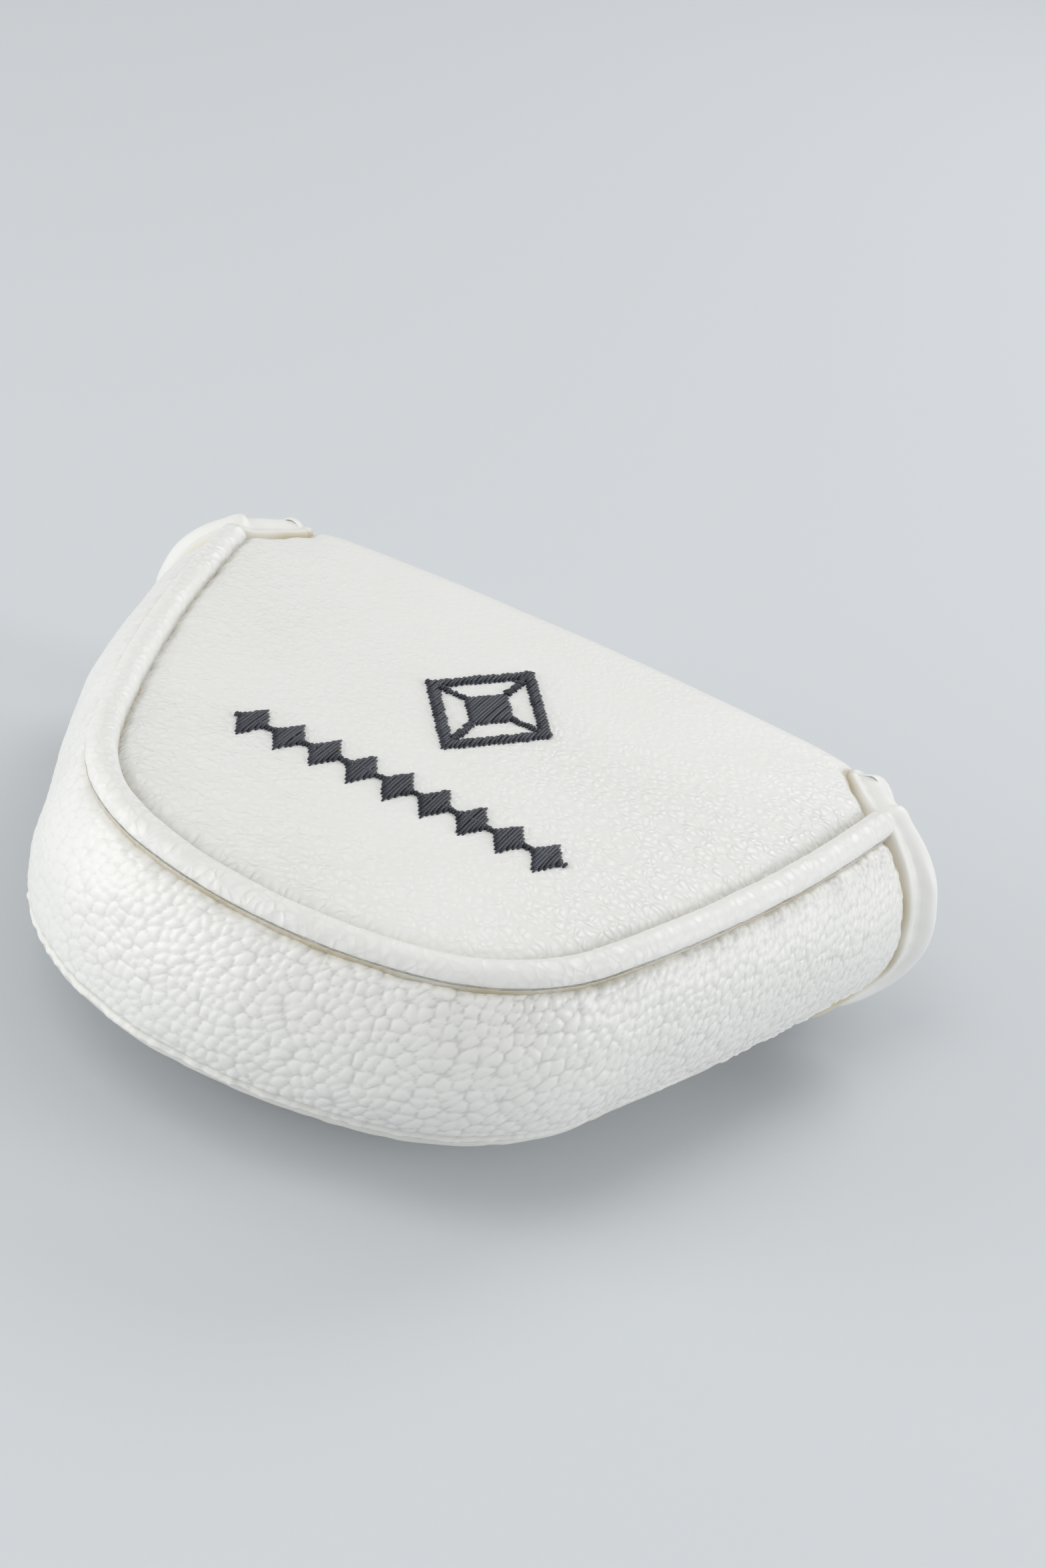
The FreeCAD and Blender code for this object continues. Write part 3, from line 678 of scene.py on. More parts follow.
def bead(s, angle, radius, offset, level):
    """Rings of a round bead, its middle this far out from the panel seam and this high."""
    return beside_seam(*seam(s), offset + radius * np.cos(angle),
                       level + radius * np.sin(angle))


def ring_grid(start, end, sides):
    """Places along the panel seam, and angles round a bead, as grids."""
    return grid(np.arange(start, end, STEP), np.linspace(0, 2 * math.pi, sides, endpoint=False))


def piping():
    s, angle = ring_grid(-END - 0.2, END + 0.21, 36)
    under = np.clip(0.35 - np.sin(angle) * 0.8, 0, 1)
    radius = PIPING_RADIUS + 0.07 * noise(s, angle * 2, 6.0, 31)
    radius = radius + 0.10 * under * noise(s + angle * 0.8, angle * 1.1, 1.9, 32)
    radius = radius + 0.035 * noise(s, angle * 2.2, 1.3, 33)
    rings = bead(s, angle, radius, PIPING_OFFSET, PIPING_LEVEL)
    # painted shade over the piping's lower half, where it tucks against the gusset, tinted brown
    # like the seams
    stain_and_shade = 0.9 * smooth(-np.sin(angle), -0.15, 0.4) * (0.7 + 0.3 * noise(s, 0, 7, 34))
    rough = 0.55 + 0.25 * noise(s, angle, 14, 35)
    piece = tube("piping", rings, piping_leather, {"seam": stain_and_shade, "rough": rough})
    settle(piece, "cover", ["piping_cover", "piping_cord"])


piping()


# ---- gusset ----

PEBBLE = 0.34                   # height of the gusset's grain
TUCKED_IN = 0.9                 # how far the gusset runs on behind the piping


def gusset():
    places = np.linspace(-END + 0.2, END - 0.2, int(2 * END / FINE_STEP))
    count = int((WALL_DEPTH + TUCKED_IN) / FINE_STEP)
    s, depth = grid(places, np.linspace(-TUCKED_IN, WALL_DEPTH, count))
    to_mouth = END - MOUTH_BACK - np.abs(s)
    edge = WALL_DEPTH - depth
    below = np.maximum(depth, 0)
    near_top = hump(below, 2.6, 1.0)
    near_low = hump(edge, 2.2)
    ticks = hump(noise(s, depth * 0.12, 1.9, 42), 0.22) * hump(below, 3.6, 1.6)
    ticks = ticks * np.interp(s, [-60, -20, 30, END], [0.3, 0.6, 1.0, 1.0])
    pucker = near_top * 0.34 * noise(s, depth * 0.2, 2.5, 41) - 0.24 * ticks
    pucker = pucker + near_low * 0.30 * noise(s, depth * 0.25, 0.95, 47)
    tuck = 1.8 * hump(below, 1.4, 1.5)
    hem = 0.40 * hump(edge - 2.0, 0.45)
    turn = 1.1 * hump(edge, 0.6)
    from_end = np.maximum(to_mouth, 0)
    sewn = hump(from_end, 3.0, 1.0)
    pucker = pucker + sewn * 0.2 * noise(to_mouth * 0.2, depth, 1.6, 49)
    lift = wall_swell(s, depth) - tuck + pucker - hem - turn
    lift = lift - 0.8 * hump(from_end, 1.0, 1.4)
    lift = lift + 0.16 * noise(s, depth * 1.3, 8, 45) + 0.06 * noise(s, depth, 2.6, 48)
    back_s, back_depth = grid(places, np.linspace(WALL_DEPTH - 0.4, 2.5, 12))
    inner, _ = on_wall(back_s, back_depth, WALL_RADIUS - PAD_WALL)
    rough = smooth(depth, -0.5, 3.0) * (0.85 + 0.3 * noise(s, depth, 15, 44))
    rough = rough * np.interp(s, [-75, -30, 0, 45, 75], [0.3, 0.45, 0.95, 1.2, 1.0])
    rough = rough * (0.45 + 0.55 * smooth(edge, 0.6, 3.0)) + 0.25 * near_top
    along = np.interp(s, [-END, -45, 0, 40, 70, END], [-85, -32, 0, 27, 48, 86])
    down = np.interp(depth, [-1, 3, 8, WALL_DEPTH], [-0.9, 2.2, 5.4, 16.0])
    grain = pebbles(along + 0.3 * down, down, 1.0, 43, 1.15)
    lift = lift + PEBBLE * rough * (grain - 0.6)
    outer, _ = on_wall(s, depth, WALL_RADIUS, lift)
    # painted shade in the ditch under the piping and along the hem line, and seam staining at
    # the gusset's end
    stain_and_shade = hump(np.maximum(depth - 0.4, 0), 0.55) * (0.8 + 0.3 * noise(s, 0, 9, 46))
    stain_and_shade = stain_and_shade + 0.15 * hump(edge - 2.0, 0.35)
    stain_and_shade = stain_and_shade + 0.8 * hump(np.maximum(to_mouth - 0.2, 0), 0.8) * smooth(edge, 0, 2)
    blank = np.zeros(back_s.shape)
    # painted shade in the pebbles' creases and in the pucker ticks below the piping, carried by
    # the mark called crease
    painted_crease_shade = rough * (1 - smooth(grain, 0.2, 0.6)) + 0.8 * ticks
    marks = {"seam": np.concatenate([np.clip(stain_and_shade, 0, 1), blank], 1)[:, ::-1],
             "crease": np.concatenate([painted_crease_shade, blank], 1)[:, ::-1]}
    piece = tube("gusset", np.concatenate([outer, inner], 1)[:, ::-1], wall_leather, marks)
    settle(piece, "cover", ["gusset_skin", "gusset_foam"])


gusset()


# ---- under panel ----

RIM_IN = 1.6                    # the under panel's rim lies this far inside the gusset
RIM_LEVEL = -22.8
WELT_END = END - 14.0
WELT_RADIUS = 0.75
UNDER_HALF = 64.0               # half the width of the grid that the panel is cut from
UNDER_BACK = -25.0              # its back edge, which is behind the mouth


def rim_offset(s):
    """Where the under panel meets the gusset's low edge, out from the panel seam."""
    edge = WALL_RADIUS + wall_swell(s, WALL_DEPTH)
    return WALL_IN + edge * math.cos(WALL_LOW) - RIM_IN


def rim_inset(x, y):
    """Distance in from the under panel's rim, and the place along the panel seam."""
    deep, along = from_edge(x, y, SEAM_EDGE)
    return deep + rim_offset(along), along


def under_level(inset):
    """Level of the dished under panel at a distance in from its rim."""
    run = np.clip(inset / 15.0, 0, 1.25)
    eased = run - np.maximum(run - 0.75, 0) ** 2
    return RIM_LEVEL + (UNDER_Z - RIM_LEVEL) * (0.35 * smooth(run) + 0.65 * eased)


def mouth_edge(x, extra=0.0):
    return MOUTH_Y - np.sqrt((MOUTH_RADIUS + extra) ** 2 - x * x)


def under_grid(shrink, mouth_extra, step):
    xs = both_ways(UNDER_HALF, step)
    ys = np.arange(FRONT_Y - WALL_RADIUS / 2, UNDER_BACK, step)
    grid_x, grid_y = grid(xs, ys)
    inset, _ = rim_inset(grid_x, grid_y)
    keep = (inset > shrink) & (grid_y < mouth_edge(grid_x, mouth_extra))
    return clipped_grid(xs, ys, keep)


def under_panel():
    x, y, quads = under_grid(-0.2, -1.0, STEP)
    inset, along = rim_inset(x, y)
    inset = np.maximum(inset, 0)
    to_mouth = np.maximum(mouth_edge(x) - y, 0)
    rim = hump(inset, 2.4, 1.0)
    swell = 1.0 * smooth(inset, 0, 10) * smooth(to_mouth, 0, 10)
    tuck = 1.1 * hump(to_mouth, 1.1, 1.5)
    pucker = 0.3 * rim * noise(along, inset * 0.2, 2.8, 52)
    lift = swell - tuck + pucker + 0.15 * noise(x, y, 12, 53)
    upper = columns(x, y, under_level(inset) - lift)
    lower = columns(x, y, under_level(inset) + PAD_UNDER)
    # seam staining along the rim and the mouth, partly painted shade where the panel tucks in
    # there
    stain_and_shade = 0.5 * hump(inset, 0.7) + 0.5 * hump(to_mouth, 0.6)
    rough = 0.7 + 0.3 * rim
    piece = closed_sheet("under_panel", upper, lower, quads[:, ::-1], panel_leather,
                         {"seam": stain_and_shade, "rough": rough})
    settle(piece, "cover", ["under_panel_skin", "under_panel_foam"])


under_panel()


def welt():
    """Narrow rolled welt along the seam of gusset and under panel."""
    s, angle = ring_grid(-WELT_END, WELT_END + 0.1, 14)
    radius = WELT_RADIUS + 0.10 * noise(s, angle, 1.6, 61)
    rings = bead(s, angle, radius, rim_offset(s) + 0.3, RIM_LEVEL - 0.5)
    piece = tube("under_seam_roll", rings, trim_leather, {"seam": np.full(s.shape, 0.12)})
    settle(piece, "cover", ["under_seam_welt"])


welt()


# ---- edge binding: from the tongue's tip over both folds and round the mouth ----

# section as across (from the ditch towards the mouth) and up (out of the leather)
SECTION = np.array([
    (-0.4, -1.3), (0.0, -0.4), (0.4, 0.25), (1.0, 0.5), (1.5, 0.38), (1.9, 0.15),
    (2.3, 0.3), (3.0, 0.6), (4.0, 0.85), (5.0, 0.6), (5.9, -0.2), (6.45, -1.3),
    (6.6, -2.7), (6.4, -4.0), (5.8, -5.0), (4.9, -5.6), (3.8, -5.8), (2.6, -5.7),
    (1.9, -5.4), (1.3, -5.7), (0.5, -5.7), (-0.3, -5.3), (-0.6, -4.2), (-0.6, -2.6)])
GROOVE = (1.9, 0.2)             # the stitched groove in the section
SECTION_WIDTH, SECTION_DEPTH = 6.6, 5.8
# width, depth and how far the roll stands out above the ditch
CORNER_SIZE = (7.2, 5.8, 0.2)
MOUTH_SIZE = (7.4, 5.8)
MOUTH_PROUD = 1.7
UNDER_SIZE = (5.2, 5.0, 0.0)
FLAP_SIZE = (5.6, 5.3, 0.0)
TONGUE_SIZE = (3.6, 3.4, 0.0)
LOW_CORNER = 5.0
MOUTH_HALF = 54.5               # where the strip comes from the gusset to the under panel


def closed_curve(points, count, parts=12):
    """Catmull-Rom loop through the points, evenly resampled."""
    fine = []
    n = len(points)
    for k in range(n):
        a, b, c, d = (points[(k + q) % n] for q in (-1, 0, 1, 2))
        for t in np.linspace(0, 1, parts, endpoint=False):
            fine.append(0.5 * (2 * b + (c - a) * t + (2 * a - 5 * b + 4 * c - d) * t * t
                               + (3 * b - a - 3 * c + d) * t ** 3))
    fine = np.array(fine + [fine[0]])
    return resample(fine, np.linalg.norm(np.diff(fine, axis=0), axis=1).sum() / count)[:-1]


def tip_corner():
    """Round corner of the tongue's tip, as distances in from its side and its end."""
    turn = np.linspace(0, math.pi / 2, 16)
    return columns(TIP_RADIUS * (1 - np.sin(turn)), TIP_RADIUS * (1 - np.cos(turn)))


def bent_row(x, line, size):
    """Station on a bent sheet: place, outer normal and the strip's size."""
    y, z, ny, nz = (float(v) for v in line)
    return (x, y, z, 0, ny, nz, *size)


def tongue_rows():
    """Half of the tongue's edge, from the middle of its tip to the flap."""
    tip = [(x, TONGUE_END) for x in np.linspace(0, TONGUE_HALF - TIP_RADIUS, 8)]
    bend = [(TONGUE_HALF - aside, TONGUE_END + back) for aside, back in tip_corner()[1:]]
    rows = [(*place, TONGUE_Z, 0, 0, -1, *TONGUE_SIZE) for place in tip + bend]
    low_start = FACE_Y + 0.5 - LOW_ROLL
    for u in np.linspace(LOW_ROLL_LENGTH + low_start - TONGUE_END - TIP_RADIUS, 0, 70)[1:]:
        rows.append(bent_row(TONGUE_HALF, over_low_fold(u), TONGUE_SIZE))
    return rows


def flap_rows():
    """From the tongue up the flap's side to the fold."""
    return [bent_row(x, over_fold(t), FLAP_SIZE) for x, t in resample(FLAP_SIDE[::-1], 0.8)[5:]]


CORNER_Z = TOP - 0.25


def corner_rows():
    """The cut corner of the top panel, then across the end of the piping."""
    rows = []
    fold, (end,) = np.array([FOLD_HALF, 0.0]), seam(np.array([END]))[0]
    for k in np.linspace(0, 1, 14)[1:]:
        x, y = fold * (1 - k) + end * k
        rows.append((x, y, CORNER_Z, 0.10, 0.05, 1.0, *CORNER_SIZE))
    (wall_top,), (wall_normal,) = on_wall(np.array([END - MOUTH_BACK]), np.array([0.6]),
                                          WALL_RADIUS)
    for k in np.linspace(0, 1, 9)[1:-1]:
        point = np.array([*end, CORNER_Z]) * (1 - k) + wall_top * k
        point[Z] += 1.3 * math.sin(math.pi * k)
        normal = np.array([0.0, 0.0, 1.0]) * (1 - k) + wall_normal * k
        rows.append((*point, *normal, *CORNER_SIZE))
    return rows


def mouth_rows():
    """Down the gusset's end, round its low corner, under it and along the mouth's arc."""
    stop = END - MOUTH_BACK
    path = [(stop, p, 0.0) for p in np.linspace(0.6, WALL_DEPTH - LOW_CORNER, 22)]
    path += [(stop - LOW_CORNER * (1 - math.cos(a)),
              WALL_DEPTH - LOW_CORNER * (1 - math.sin(a)), a * 0.35)
             for a in np.linspace(0, math.pi / 2, 9)[1:]]
    path += [(stop - LOW_CORNER - k, WALL_DEPTH + 0.12 * k, 0.55 + 0.05 * k)
             for k in np.linspace(0, 9, 12)[1:]]
    rows = []
    for s, p, roll in path:
        lift = wall_swell(np.array([s]), np.array([p]))
        (point,), (normal,) = on_wall(np.array([s]), np.array([p]), WALL_RADIUS, lift)
        normal = normal * math.cos(roll) + np.array([0, 0, -1.0]) * math.sin(roll)
        proud = MOUTH_PROUD * float(smooth(p, 0, 9) * (1 - smooth(roll, 0, 0.7)))
        rows.append((*point, *normal, *MOUTH_SIZE, proud))
    for x in np.linspace(MOUTH_HALF, 0, 75):
        y = float(mouth_edge(x))
        inset, _ = rim_inset(np.array([x]), np.array([y]))
        rows.append((x, y, float(under_level(inset)[0]), 0.3 * float(smooth(x, 30, 56)), 0, -1,
                     *UNDER_SIZE))
    return rows


def averaged(values, far, width):
    """Gaussian average along the path, narrowing to nothing at both ends."""
    result = np.empty_like(values)
    for k in range(len(values)):
        reach = min(width, (far[k] - far[0]) / 3 + 1e-3, (far[-1] - far[k]) / 3 + 1e-3)
        weight = np.exp(-((far - far[k]) / reach) ** 2)
        result[k] = (values * weight[:, None]).sum(0) / weight.sum()
    return result


def rim_path():
    """Even stations of the whole binding: base, normal, across, sizes, distance."""
    parts = [tongue_rows(), flap_rows(), corner_rows() + mouth_rows()]
    rows = np.array(sum(parts, []))
    far = distances(rows[:, :3])
    wanted = np.arange(0, far[-1], STEP)
    even = between(wanted, far, rows)
    even = np.concatenate([averaged(even[:, :6], wanted, 1.9),
                           averaged(even[:, 6:], wanted, 5.0)], 1)
    base = even[:, :3]
    base[-1, X] = 0.0
    tangent = units(np.gradient(base, axis=0))
    normal = units(even[:, 3:6] - tangent * (even[:, 3:6] * tangent).sum(1)[:, None])
    ends = far[[len(parts[0]), len(parts[0]) + len(parts[1]) - 1]]
    return (base, normal, np.cross(normal, tangent), even[:, 6:], wanted,
            *np.searchsorted(wanted, ends))


BASE, NORMAL, ACROSS, SIZES, FAR, NECK, FOLD = rim_path()
WIDTH, DEPTH, PROUD = SIZES.T


def strip_part(first, last):
    """Rings of the binding between two stations on the +X side, with its seam staining and
    painted shade in its ditch.
    """
    section = closed_curve(SECTION, 44)
    b, n = section[:, 0], section[:, 1]
    pick = slice(first, last)
    far = np.repeat(FAR[pick, None], len(b), axis=1)
    wide = (WIDTH[pick] / SECTION_WIDTH)[:, None]
    deep = (DEPTH[pick] / SECTION_DEPTH)[:, None]
    across = b[None, :] * wide
    level = np.where(n > 0, n * np.minimum(wide, 1.0), n * deep)
    beat = np.abs(np.sin(math.pi * far / STITCH_PITCH)) ** 6
    groove = (hump(b - GROOVE[0], 0.5) * (n > -1.0))[None, :]
    level = level + PROUD[pick, None] * smooth(b, 0.6, 4.2)[None, :]
    level = level - 0.06 * beat * groove + 0.14 * noise(far, across * 0.7 + level, 3.1, 71)
    across = across + 0.10 * noise(far, across + level, 4.2, 72)
    rings = (BASE[pick, None] + ACROSS[pick, None] * across[..., None]
             + NORMAL[pick, None] * level[..., None])
    # painted shade in the ditch beside the strip and between the stitches, tinted brown like the
    # seams
    ditch = (hump(b + 0.05, 0.55) * (n > -1.6))[None, :]
    stain_and_shade = 0.95 * ditch * (0.65 + 0.35 * noise(far, 0, 5, 73)) + 0.08 * beat * groove
    return rings, stain_and_shade


def mirror(values):
    """Other side of a half, in reverse order of stations."""
    flip = np.array([-1.0, 1.0, 1.0]) if values.ndim == 3 else 1.0
    return values[::-1] * flip


def stitches(name, first, last, carrier):
    """One capsule of thread in the groove for each stitch, on both sides."""
    paths = []
    wide = (WIDTH / SECTION_WIDTH)[:, None]
    rise = GROOVE[1] - 0.06 + PROUD * smooth(GROOVE[0], 0.6, 4.2)
    line = BASE + ACROSS * GROOVE[0] * wide + NORMAL * rise[:, None]
    for start in np.arange(FAR[first] + 0.4, FAR[last - 1] - 2.5, STITCH_PITCH):
        far = np.linspace(start, start + 0.72 * STITCH_PITCH, 6)
        path, up = between(far, FAR, line), between(far, FAR, NORMAL)
        path[1:-1] += up[1:-1] * 0.12
        paths += [(path * flip, up * flip) for flip in ((1, 1, 1), (-1, 1, 1))]
    settle(strands(name, paths, STITCH_RADIUS, white_thread), carrier)


def binding(name, span, order, carrier, nodes):
    """One strip of binding over a span of stations; order lays out its two sides."""
    rings, stain_and_shade = (order(values) for values in strip_part(*span))
    piece = tube(name, rings, trim_leather, {"seam": stain_and_shade})
    settle(piece, carrier, nodes)


def left_to_right(values):
    return np.concatenate([mirror(values)[:-1], values])


def right_to_left(values):
    return np.concatenate([values, mirror(values)[1:]])


def bindings():
    binding("tongue_binding_strip", (0, NECK + 1), left_to_right, LOW_FOLD_BEND,
            ["tongue_binding"])
    binding("mouth_binding_strip", (FOLD, len(FAR)), right_to_left, "cover",
            ["mouth_binding_right", "mouth_binding_left", "under_panel_binding",
             "corner_binding_right", "corner_binding_left"])
    for side, order in (("right", np.array), ("left", mirror)):
        binding("flap_binding_strip_" + side, (NECK, FOLD + 1), order, FOLD_BEND,
                ["flap_binding_" + side])
    stitches("tongue_stitches", 4, NECK, LOW_FOLD_BEND)
    stitches("flap_stitches", NECK + 4, FOLD - 6, FOLD_BEND)


bindings()


# ---- fleece ----

FLEECE_STEP = 0.9


def fleece_nap(u, v, seed):
    return 0.16 * noise(u, v, 1.7, seed) + 0.12 * noise(u, v, 4.5, seed + 1)


def fleece_over_fold():
    """Lining of top panel and flap in one piece, so that the fold shows no gap."""
    xs = both_ways(high("flap_skin", X) + 2.4, FLEECE_STEP)
    ts = np.arange(FRONT_Y - 3, TOP_LINING - FLAP_LOW + 1.3, FLEECE_STEP)
    grid_x, grid_t = grid(xs, ts)
    _, level, _, _ = under_fold(grid_t)
    outer_t = np.where(grid_t > 0, drop_to_t(TOP - level), grid_t)
    deep, _ = from_edge(grid_x, outer_t, EDGE)
    x, t, quads = clipped_grid(xs, ts, deep > -0.5)
    nap = fleece_nap(x, t, 81) * smooth(np.abs(t - ROLL_LENGTH / 2), 8, 16)
    outer = lifted(x, under_fold(t), 0.0)
    inner = lifted(x, under_fold(t), -(LINING + nap))
    piece = closed_sheet("fleece_top_and_flap", outer, inner, quads, fleece,
                         uv=columns(x, t))
    settle(piece, INNER_FOLD_BEND, ["top_panel_lining", "flap_lining"])


def fleece_wall():
    s = np.arange(-END + 0.6, END - 0.59, FLEECE_STEP)
    depths = np.linspace(3.0, WALL_DEPTH - 1.2, 24)
    outer, _ = on_wall(*grid(s, depths), WALL_RADIUS - PAD_WALL)
    back_s, back = grid(s, depths[::-1])
    inner, _ = on_wall(back_s, back, WALL_RADIUS - PAD_WALL - LINING,
                       -fleece_nap(back_s, back, 83))
    piece = tube("fleece_gusset", np.concatenate([outer, inner], 1)[:, ::-1], fleece)
    settle(piece, "cover", ["gusset_lining"])


def fleece_under():
    x, y, quads = under_grid(5.2, 0.4, FLEECE_STEP)
    inset, _ = rim_inset(x, y)
    level = under_level(inset) + PAD_UNDER
    upper = columns(x, y, level + LINING + fleece_nap(x, y, 85))
    lower = columns(x, y, level)
    piece = closed_sheet("fleece_under", upper, lower, quads, fleece)
    settle(piece, "cover", ["under_panel_lining"])


fleece_over_fold()
fleece_wall()
fleece_under()


# ---- tongue ----

def tongue_edge():
    """Half outline of the tongue's leather, from its tip to its seam on the flap, as x, u."""
    tip_u = LOW_ROLL_LENGTH + FACE_Y + 0.5 - LOW_ROLL - TONGUE_END
    bend = [(TONGUE_HALF - aside, tip_u - back) for aside, back in tip_corner()]
    neck_u = -(TONGUE_Z + LOW_ROLL - FLAP_LOW)
    seam_u = neck_u - (FLAP_SIDE[-1, 1] - STRAP_SEAM_T)
    seam_x = np.interp(STRAP_SEAM_T, FLAP_SIDE[:, 1], FLAP_SIDE[:, 0])
    return np.array([(0, tip_u), *bend, (TONGUE_HALF, neck_u), (seam_x, seam_u)]), seam_u


def tongue():
    edge, seam_u = tongue_edge()
    xs = both_ways(TONGUE_HALF + 8.2, STEP)
    us = np.arange(seam_u, edge[0, 1] + 1, STEP)
    grid_x, grid_u = grid(xs, us)
    deep, _ = from_edge(grid_x, grid_u, edge)
    x, u, quads = clipped_grid(xs, us, deep < 0.6)
    d, along = from_edge(x, u, edge)
    inside = np.maximum(-d, 0)
    to_seam = u - seam_u
    lift = 0.5 * (1 - np.exp(-inside / 4)) - 0.5 * hump(inside, 1.0, 1.5)
    lift = lift - 0.25 * hump(to_seam - 1.8, 0.4) - 0.5 * hump(to_seam, 0.7)
    lift = lift + 0.14 * hump(inside, 2.0, 1.0) * noise(along, inside * 0.3, 2.2, 91)
    upper = lifted(x, over_low_fold(u), lift)
    thick = 1.0 + (TONGUE_LINING - TONGUE_Z - 1.0) * smooth(u, -3, 4)
    lower = lifted(x, over_low_fold(u), -thick)
    # seam staining at the tongue's edge and its seam, partly painted shade in the ditches there
    stain_and_shade = 0.5 * hump(inside, 0.6) + 0.4 * hump(to_seam - 1.8, 0.35)
    rough = 0.65 + 0.3 * hump(inside, 5, 1.0)
    piece = closed_sheet("tongue_leather", upper, lower, quads[:, ::-1], panel_leather,
                         {"seam": stain_and_shade, "rough": rough}, columns(x, u))
    settle(piece, LOW_FOLD_BEND, ["tongue_skin", "tongue_foam"])


def tongue_fleece():
    """Lining of the tongue, which stops at the hinge."""
    xs = both_ways(TONGUE_HALF + 0.4, FLEECE_STEP)
    ys = np.arange(TONGUE_END - 1, 0.0, FLEECE_STEP)
    grid_x, grid_y = grid(xs, ys)
    radius = 9.0
    middle_x, middle_y = TONGUE_HALF - 1 - radius, TONGUE_END + 1 + radius
    round_off = np.hypot(np.maximum(np.abs(grid_x) - middle_x, 0),
                         np.maximum(middle_y - grid_y, 0))
    x, y, quads = clipped_grid(xs, ys, round_off < radius)
    upper = columns(x, y, TONGUE_LINING + LINING + fleece_nap(x, y, 87))
    lower = columns(x, y, np.full(x.shape, TONGUE_LINING - 0.05))
    piece = closed_sheet("fleece_tongue", upper, lower, quads, fleece)
    settle(piece, "flap_tongue", ["tongue_lining"])


tongue()
tongue_fleece()


# ---- closure tape ----

TAPE_STEP = 0.3
TAPE_SEAM = 1.1                 # the sewn line's distance from the edge
TAPE_STITCH, TAPE_THREAD = 2.2, 0.18


def tape_patch(name, node, body, side, coarse):
    """Rectangular patch of tape with a sewn border; side is +1 facing up, -1 down."""
    (x0, y0, below), (x1, y1, above) = [[end(node, axis) for axis in (X, Y, Z)]
                                        for end in (low, high)]
    base, face = (below, above) if side > 0 else (above, below)
    xs, ys = np.arange(x0, x1 + 0.1, TAPE_STEP), np.arange(y0, y1 + 0.1, TAPE_STEP)
    x, y, quads = clipped_grid(xs, ys, np.ones((len(xs), len(ys)), bool))
    inset = np.minimum(np.minimum(x - x0, x1 - x), np.minimum(y - y0, y1 - y))
    pile = coarse * (0.5 + 0.5 * noise(x, y, 0.62, 95)) * smooth(inset, 1.2, 1.8)
    level = face - side * (0.45 * hump(inset, 0.5) + 0.15 * hump(inset - TAPE_SEAM, 0.35))
    level = level + side * (pile - coarse)
    faces = quads if side > 0 else quads[:, ::-1]
    piece = closed_sheet(name, columns(x, y, level),
                         columns(x, y, np.full(x.shape, base)), faces, tape)
    settle(piece, body, [node])
    left, right, near, far = x0 + TAPE_SEAM, x1 - TAPE_SEAM, y0 + TAPE_SEAM, y1 - TAPE_SEAM
    corners = np.array([(left, near), (right, near), (right, far), (left, far), (left, near)])
    paths = []
    for a, b in zip(corners[:-1], corners[1:]):
        count = int(np.linalg.norm(b - a) / TAPE_STITCH)
        for k in range(count):
            ends = np.linspace((k + 0.14) / count, (k + 0.86) / count, 5)[:, None]
            flat = a + (b - a) * ends
            rise = face - side * (coarse + 0.1) + side * 0.12 * np.sin(np.linspace(0, np.pi, 5))
            paths.append((np.column_stack([flat, rise]), (0, 0, float(side))))
    settle(strands(name + "_stitches", paths, TAPE_THREAD, white_thread), body)


tape_patch("loop_tape", "loop_patch", "cover", -1, 0.25)
tape_patch("hook_tape", "hook_patch", "flap_tongue", 1, 0.35)


# ---- embroidery ----

THREAD_PITCH = 0.46
SATIN_RADIUS = 0.27
CREST_MIDDLE, CREST_HALF_Y = middle_and_half("crest_embroidery", Y)
CREST_HALF = np.array([high("crest_embroidery", X), CREST_HALF_Y])
CREST_STROKE = 2.2              # width of the ring's sides
CREST_HEART = 0.4               # the inner lozenge's share of the ring's size
CREST_BAR = 0.9                 # width of the bars of the cross
ROW_MIDDLE, ROW_HALF_Y = middle_and_half("row_embroidery", Y)
ROW_HALF = np.array([high("row_embroidery", X), ROW_HALF_Y])
ROW_COUNT = 9
ROW_LOZENGE = 0.42              # half width of a lozenge's share of their spacing
ROW_LINE = 0.6                  # width of the line that joins them


def lozenge_spans(middle, half, hole=0.0):
    """Threads across a lozenge along y, split where they cross its hole."""
    spans = []
    for x in np.arange(-half[X] + 0.2, half[X], THREAD_PITCH):
        outer = half[Y] * (1 - abs(x) / half[X])
        inner = half[Y] * max(0.0, hole - abs(x) / half[X])
        sides = ((-outer, -inner), (inner, outer)) if inner > 0 else ((-outer, outer),)
        for start, end in sides:
            spans.append(((middle[X] + x, middle[Y] + start), (middle[X] + x, middle[Y] + end)))
    return spans


def bar_spans(start, end, width):
    """Short threads laid across a straight bar."""
    start, end = np.array(start), np.array(end)
    along = (end - start) / np.linalg.norm(end - start)
    across = np.array([-along[1], along[0]]) * width / 2
    count = int(np.linalg.norm(end - start) / THREAD_PITCH)
    spots = [start + (end - start) * (k + 0.5) / count for k in range(count)]
    return [(spot - across, spot + across) for spot in spots]


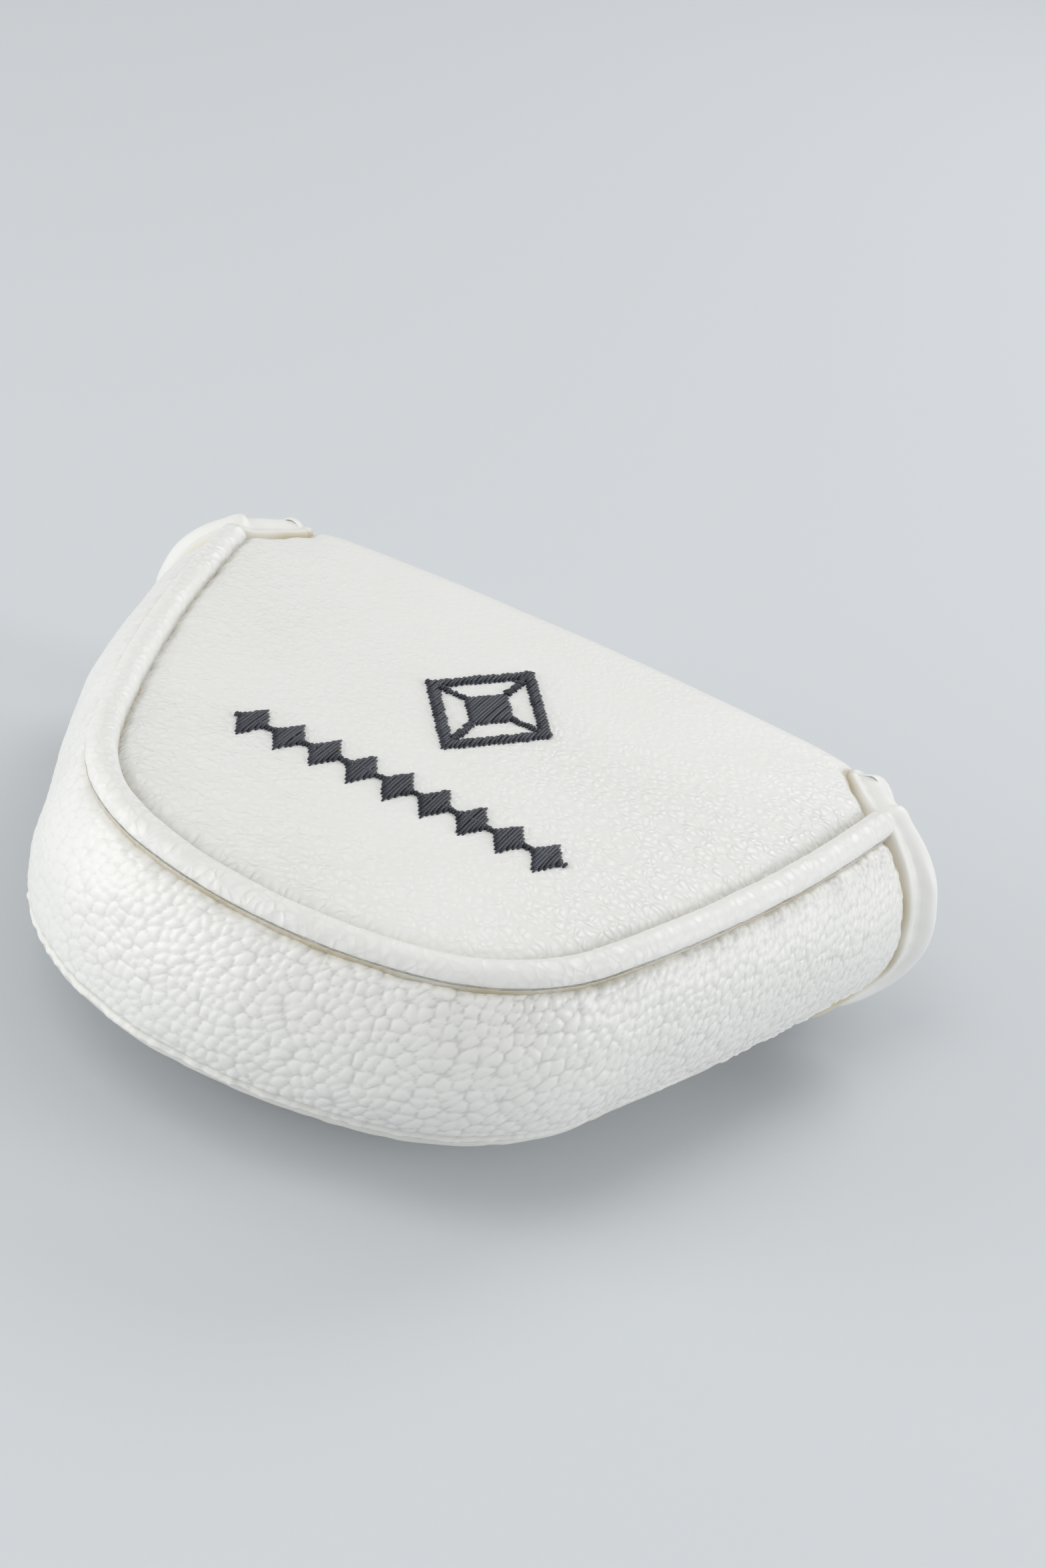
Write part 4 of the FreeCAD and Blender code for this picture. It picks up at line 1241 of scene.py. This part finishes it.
def satin(name, node, spans, seed):
    """Satin stitch: each span is one raised thread, its ends a little uneven."""
    ragged = np.random.default_rng(seed)
    flat, counts = [], []
    for start, end in spans:
        start, end = np.array(start, float), np.array(end, float)
        length = np.linalg.norm(end - start)
        if length < 0.35:
            continue
        along = (end - start) / length
        start = start - along * ragged.uniform(-0.1, 0.4)
        end = end + along * ragged.uniform(-0.1, 0.4)
        lean = np.array([-along[1], along[0]]) * ragged.normal(0, 0.05)
        count = max(5, int(length / 0.9) + 3)
        k = np.linspace(0, 1, count)[:, None]
        flat.append(start + (end - start) * k + lean * np.sin(np.pi * k))
        counts.append(count)
    joined = np.concatenate(flat)
    lift, _, _ = panel_relief(joined[:, 0], joined[:, 1])
    paths, first = [], 0
    for part, count in zip(flat, counts):
        k = np.linspace(0, 1, count)
        rise = 0.02 + 0.34 * np.sin(np.pi * k) ** 0.45 + ragged.normal(0, 0.035)
        height = TOP + lift[first:first + count] + rise
        paths.append((np.column_stack([part, height]), (0, 0, 1.0)))
        first += count
    piece = strands(name, paths, SATIN_RADIUS, dark_thread, sides=7, flat=0.8)
    settle(piece, "cover", [node])


def crest():
    """Tall lozenge ring with a small one inside it, held by a cross of fine bars."""
    middle = np.array([0.0, CREST_MIDDLE])
    hole = 1 - CREST_STROKE / CREST_HALF[X]
    spans = lozenge_spans(middle, CREST_HALF, hole)
    spans += lozenge_spans(middle, CREST_HALF * CREST_HEART)
    for way in (np.array([1.0, 0.0]), np.array([0.0, 1.0])):
        for side in (-1, 1):
            reach = way * CREST_HALF * side
            spans += bar_spans(middle + reach * CREST_HEART * 0.95,
                               middle + reach * hole * 1.02, CREST_BAR)
    satin("crest_satin", "crest_embroidery", spans, 5)


def lozenge_row():
    """Row of lozenges threaded on one fine line."""
    pitch = 2 * ROW_HALF[X] / ROW_COUNT
    spans = bar_spans((-ROW_HALF[X], ROW_MIDDLE), (ROW_HALF[X], ROW_MIDDLE), ROW_LINE)
    for k in range(ROW_COUNT):
        spot = np.array([-ROW_HALF[X] + (k + 0.5) * pitch, ROW_MIDDLE])
        spans += lozenge_spans(spot, np.array([pitch * ROW_LOZENGE, ROW_HALF[Y]]))
    satin("row_satin", "row_embroidery", spans, 6)


crest()
lozenge_row()


# ---- floor, light and camera ----

def floor():
    bpy.ops.mesh.primitive_plane_add(size=8.0, location=(0, 0, 0))
    piece = bpy.context.object
    piece.name = "floor"
    material, _, _ = new_material("floor_paint", (0.645, 0.675, 0.70), 0.9, 0.1)
    piece.data.materials.append(material)


def area_light(name, place, size, power, colour=(1, 1, 1), aim=(0, 0, 0.02)):
    lamp = bpy.data.lights.new(name, "AREA")
    lamp.shape = "DISK"
    lamp.size = size
    lamp.energy = power
    lamp.color = colour
    holder = add_object(name, lamp)
    holder.location = place
    holder.rotation_euler = (Vector(aim) - Vector(place)).to_track_quat("-Z", "Y").to_euler()


def lights():
    world = bpy.data.worlds.new("studio")
    bpy.context.scene.world = world
    world.use_nodes = True
    background = world.node_tree.nodes["Background"]
    background.inputs["Color"].default_value = (0.975, 0.98, 0.985, 1)
    background.inputs["Strength"].default_value = 0.58
    area_light("left", (-0.60, -0.46, 0.18), 0.60, 3.15, (1.0, 0.99, 0.97))
    area_light("right", (0.76, 0.22, 0.26), 0.4, 2.1)
    area_light("top", (-0.15, -0.35, 0.72), 0.4, 0.8, (1.0, 0.99, 0.97))
    area_light("back", (0.15, 0.75, 0.60), 0.5, 2.1)


CAMERA_PLACE = Vector((0.1138, -0.3184, 0.2353))
CAMERA_AIM = Vector((0.01116, 0.00775, 0.0369))
CAMERA_ROLL = math.radians(15.66)
CAMERA_LENS = 64.29


def camera():
    data = bpy.data.cameras.new("camera")
    data.lens = CAMERA_LENS
    data.sensor_width = 36.0
    data.clip_start = 0.01
    holder = add_object("camera", data)
    ahead = (CAMERA_AIM - CAMERA_PLACE).normalized()
    level = ahead.to_track_quat("-Z", "Y").to_matrix()
    holder.matrix_world = Matrix.Translation(CAMERA_PLACE) @ (
        Matrix.Rotation(-CAMERA_ROLL, 3, ahead) @ level).to_4x4()
    bpy.context.scene.camera = holder


floor()
lights()
camera()
bpy.context.scene.view_settings.view_transform = "Standard"
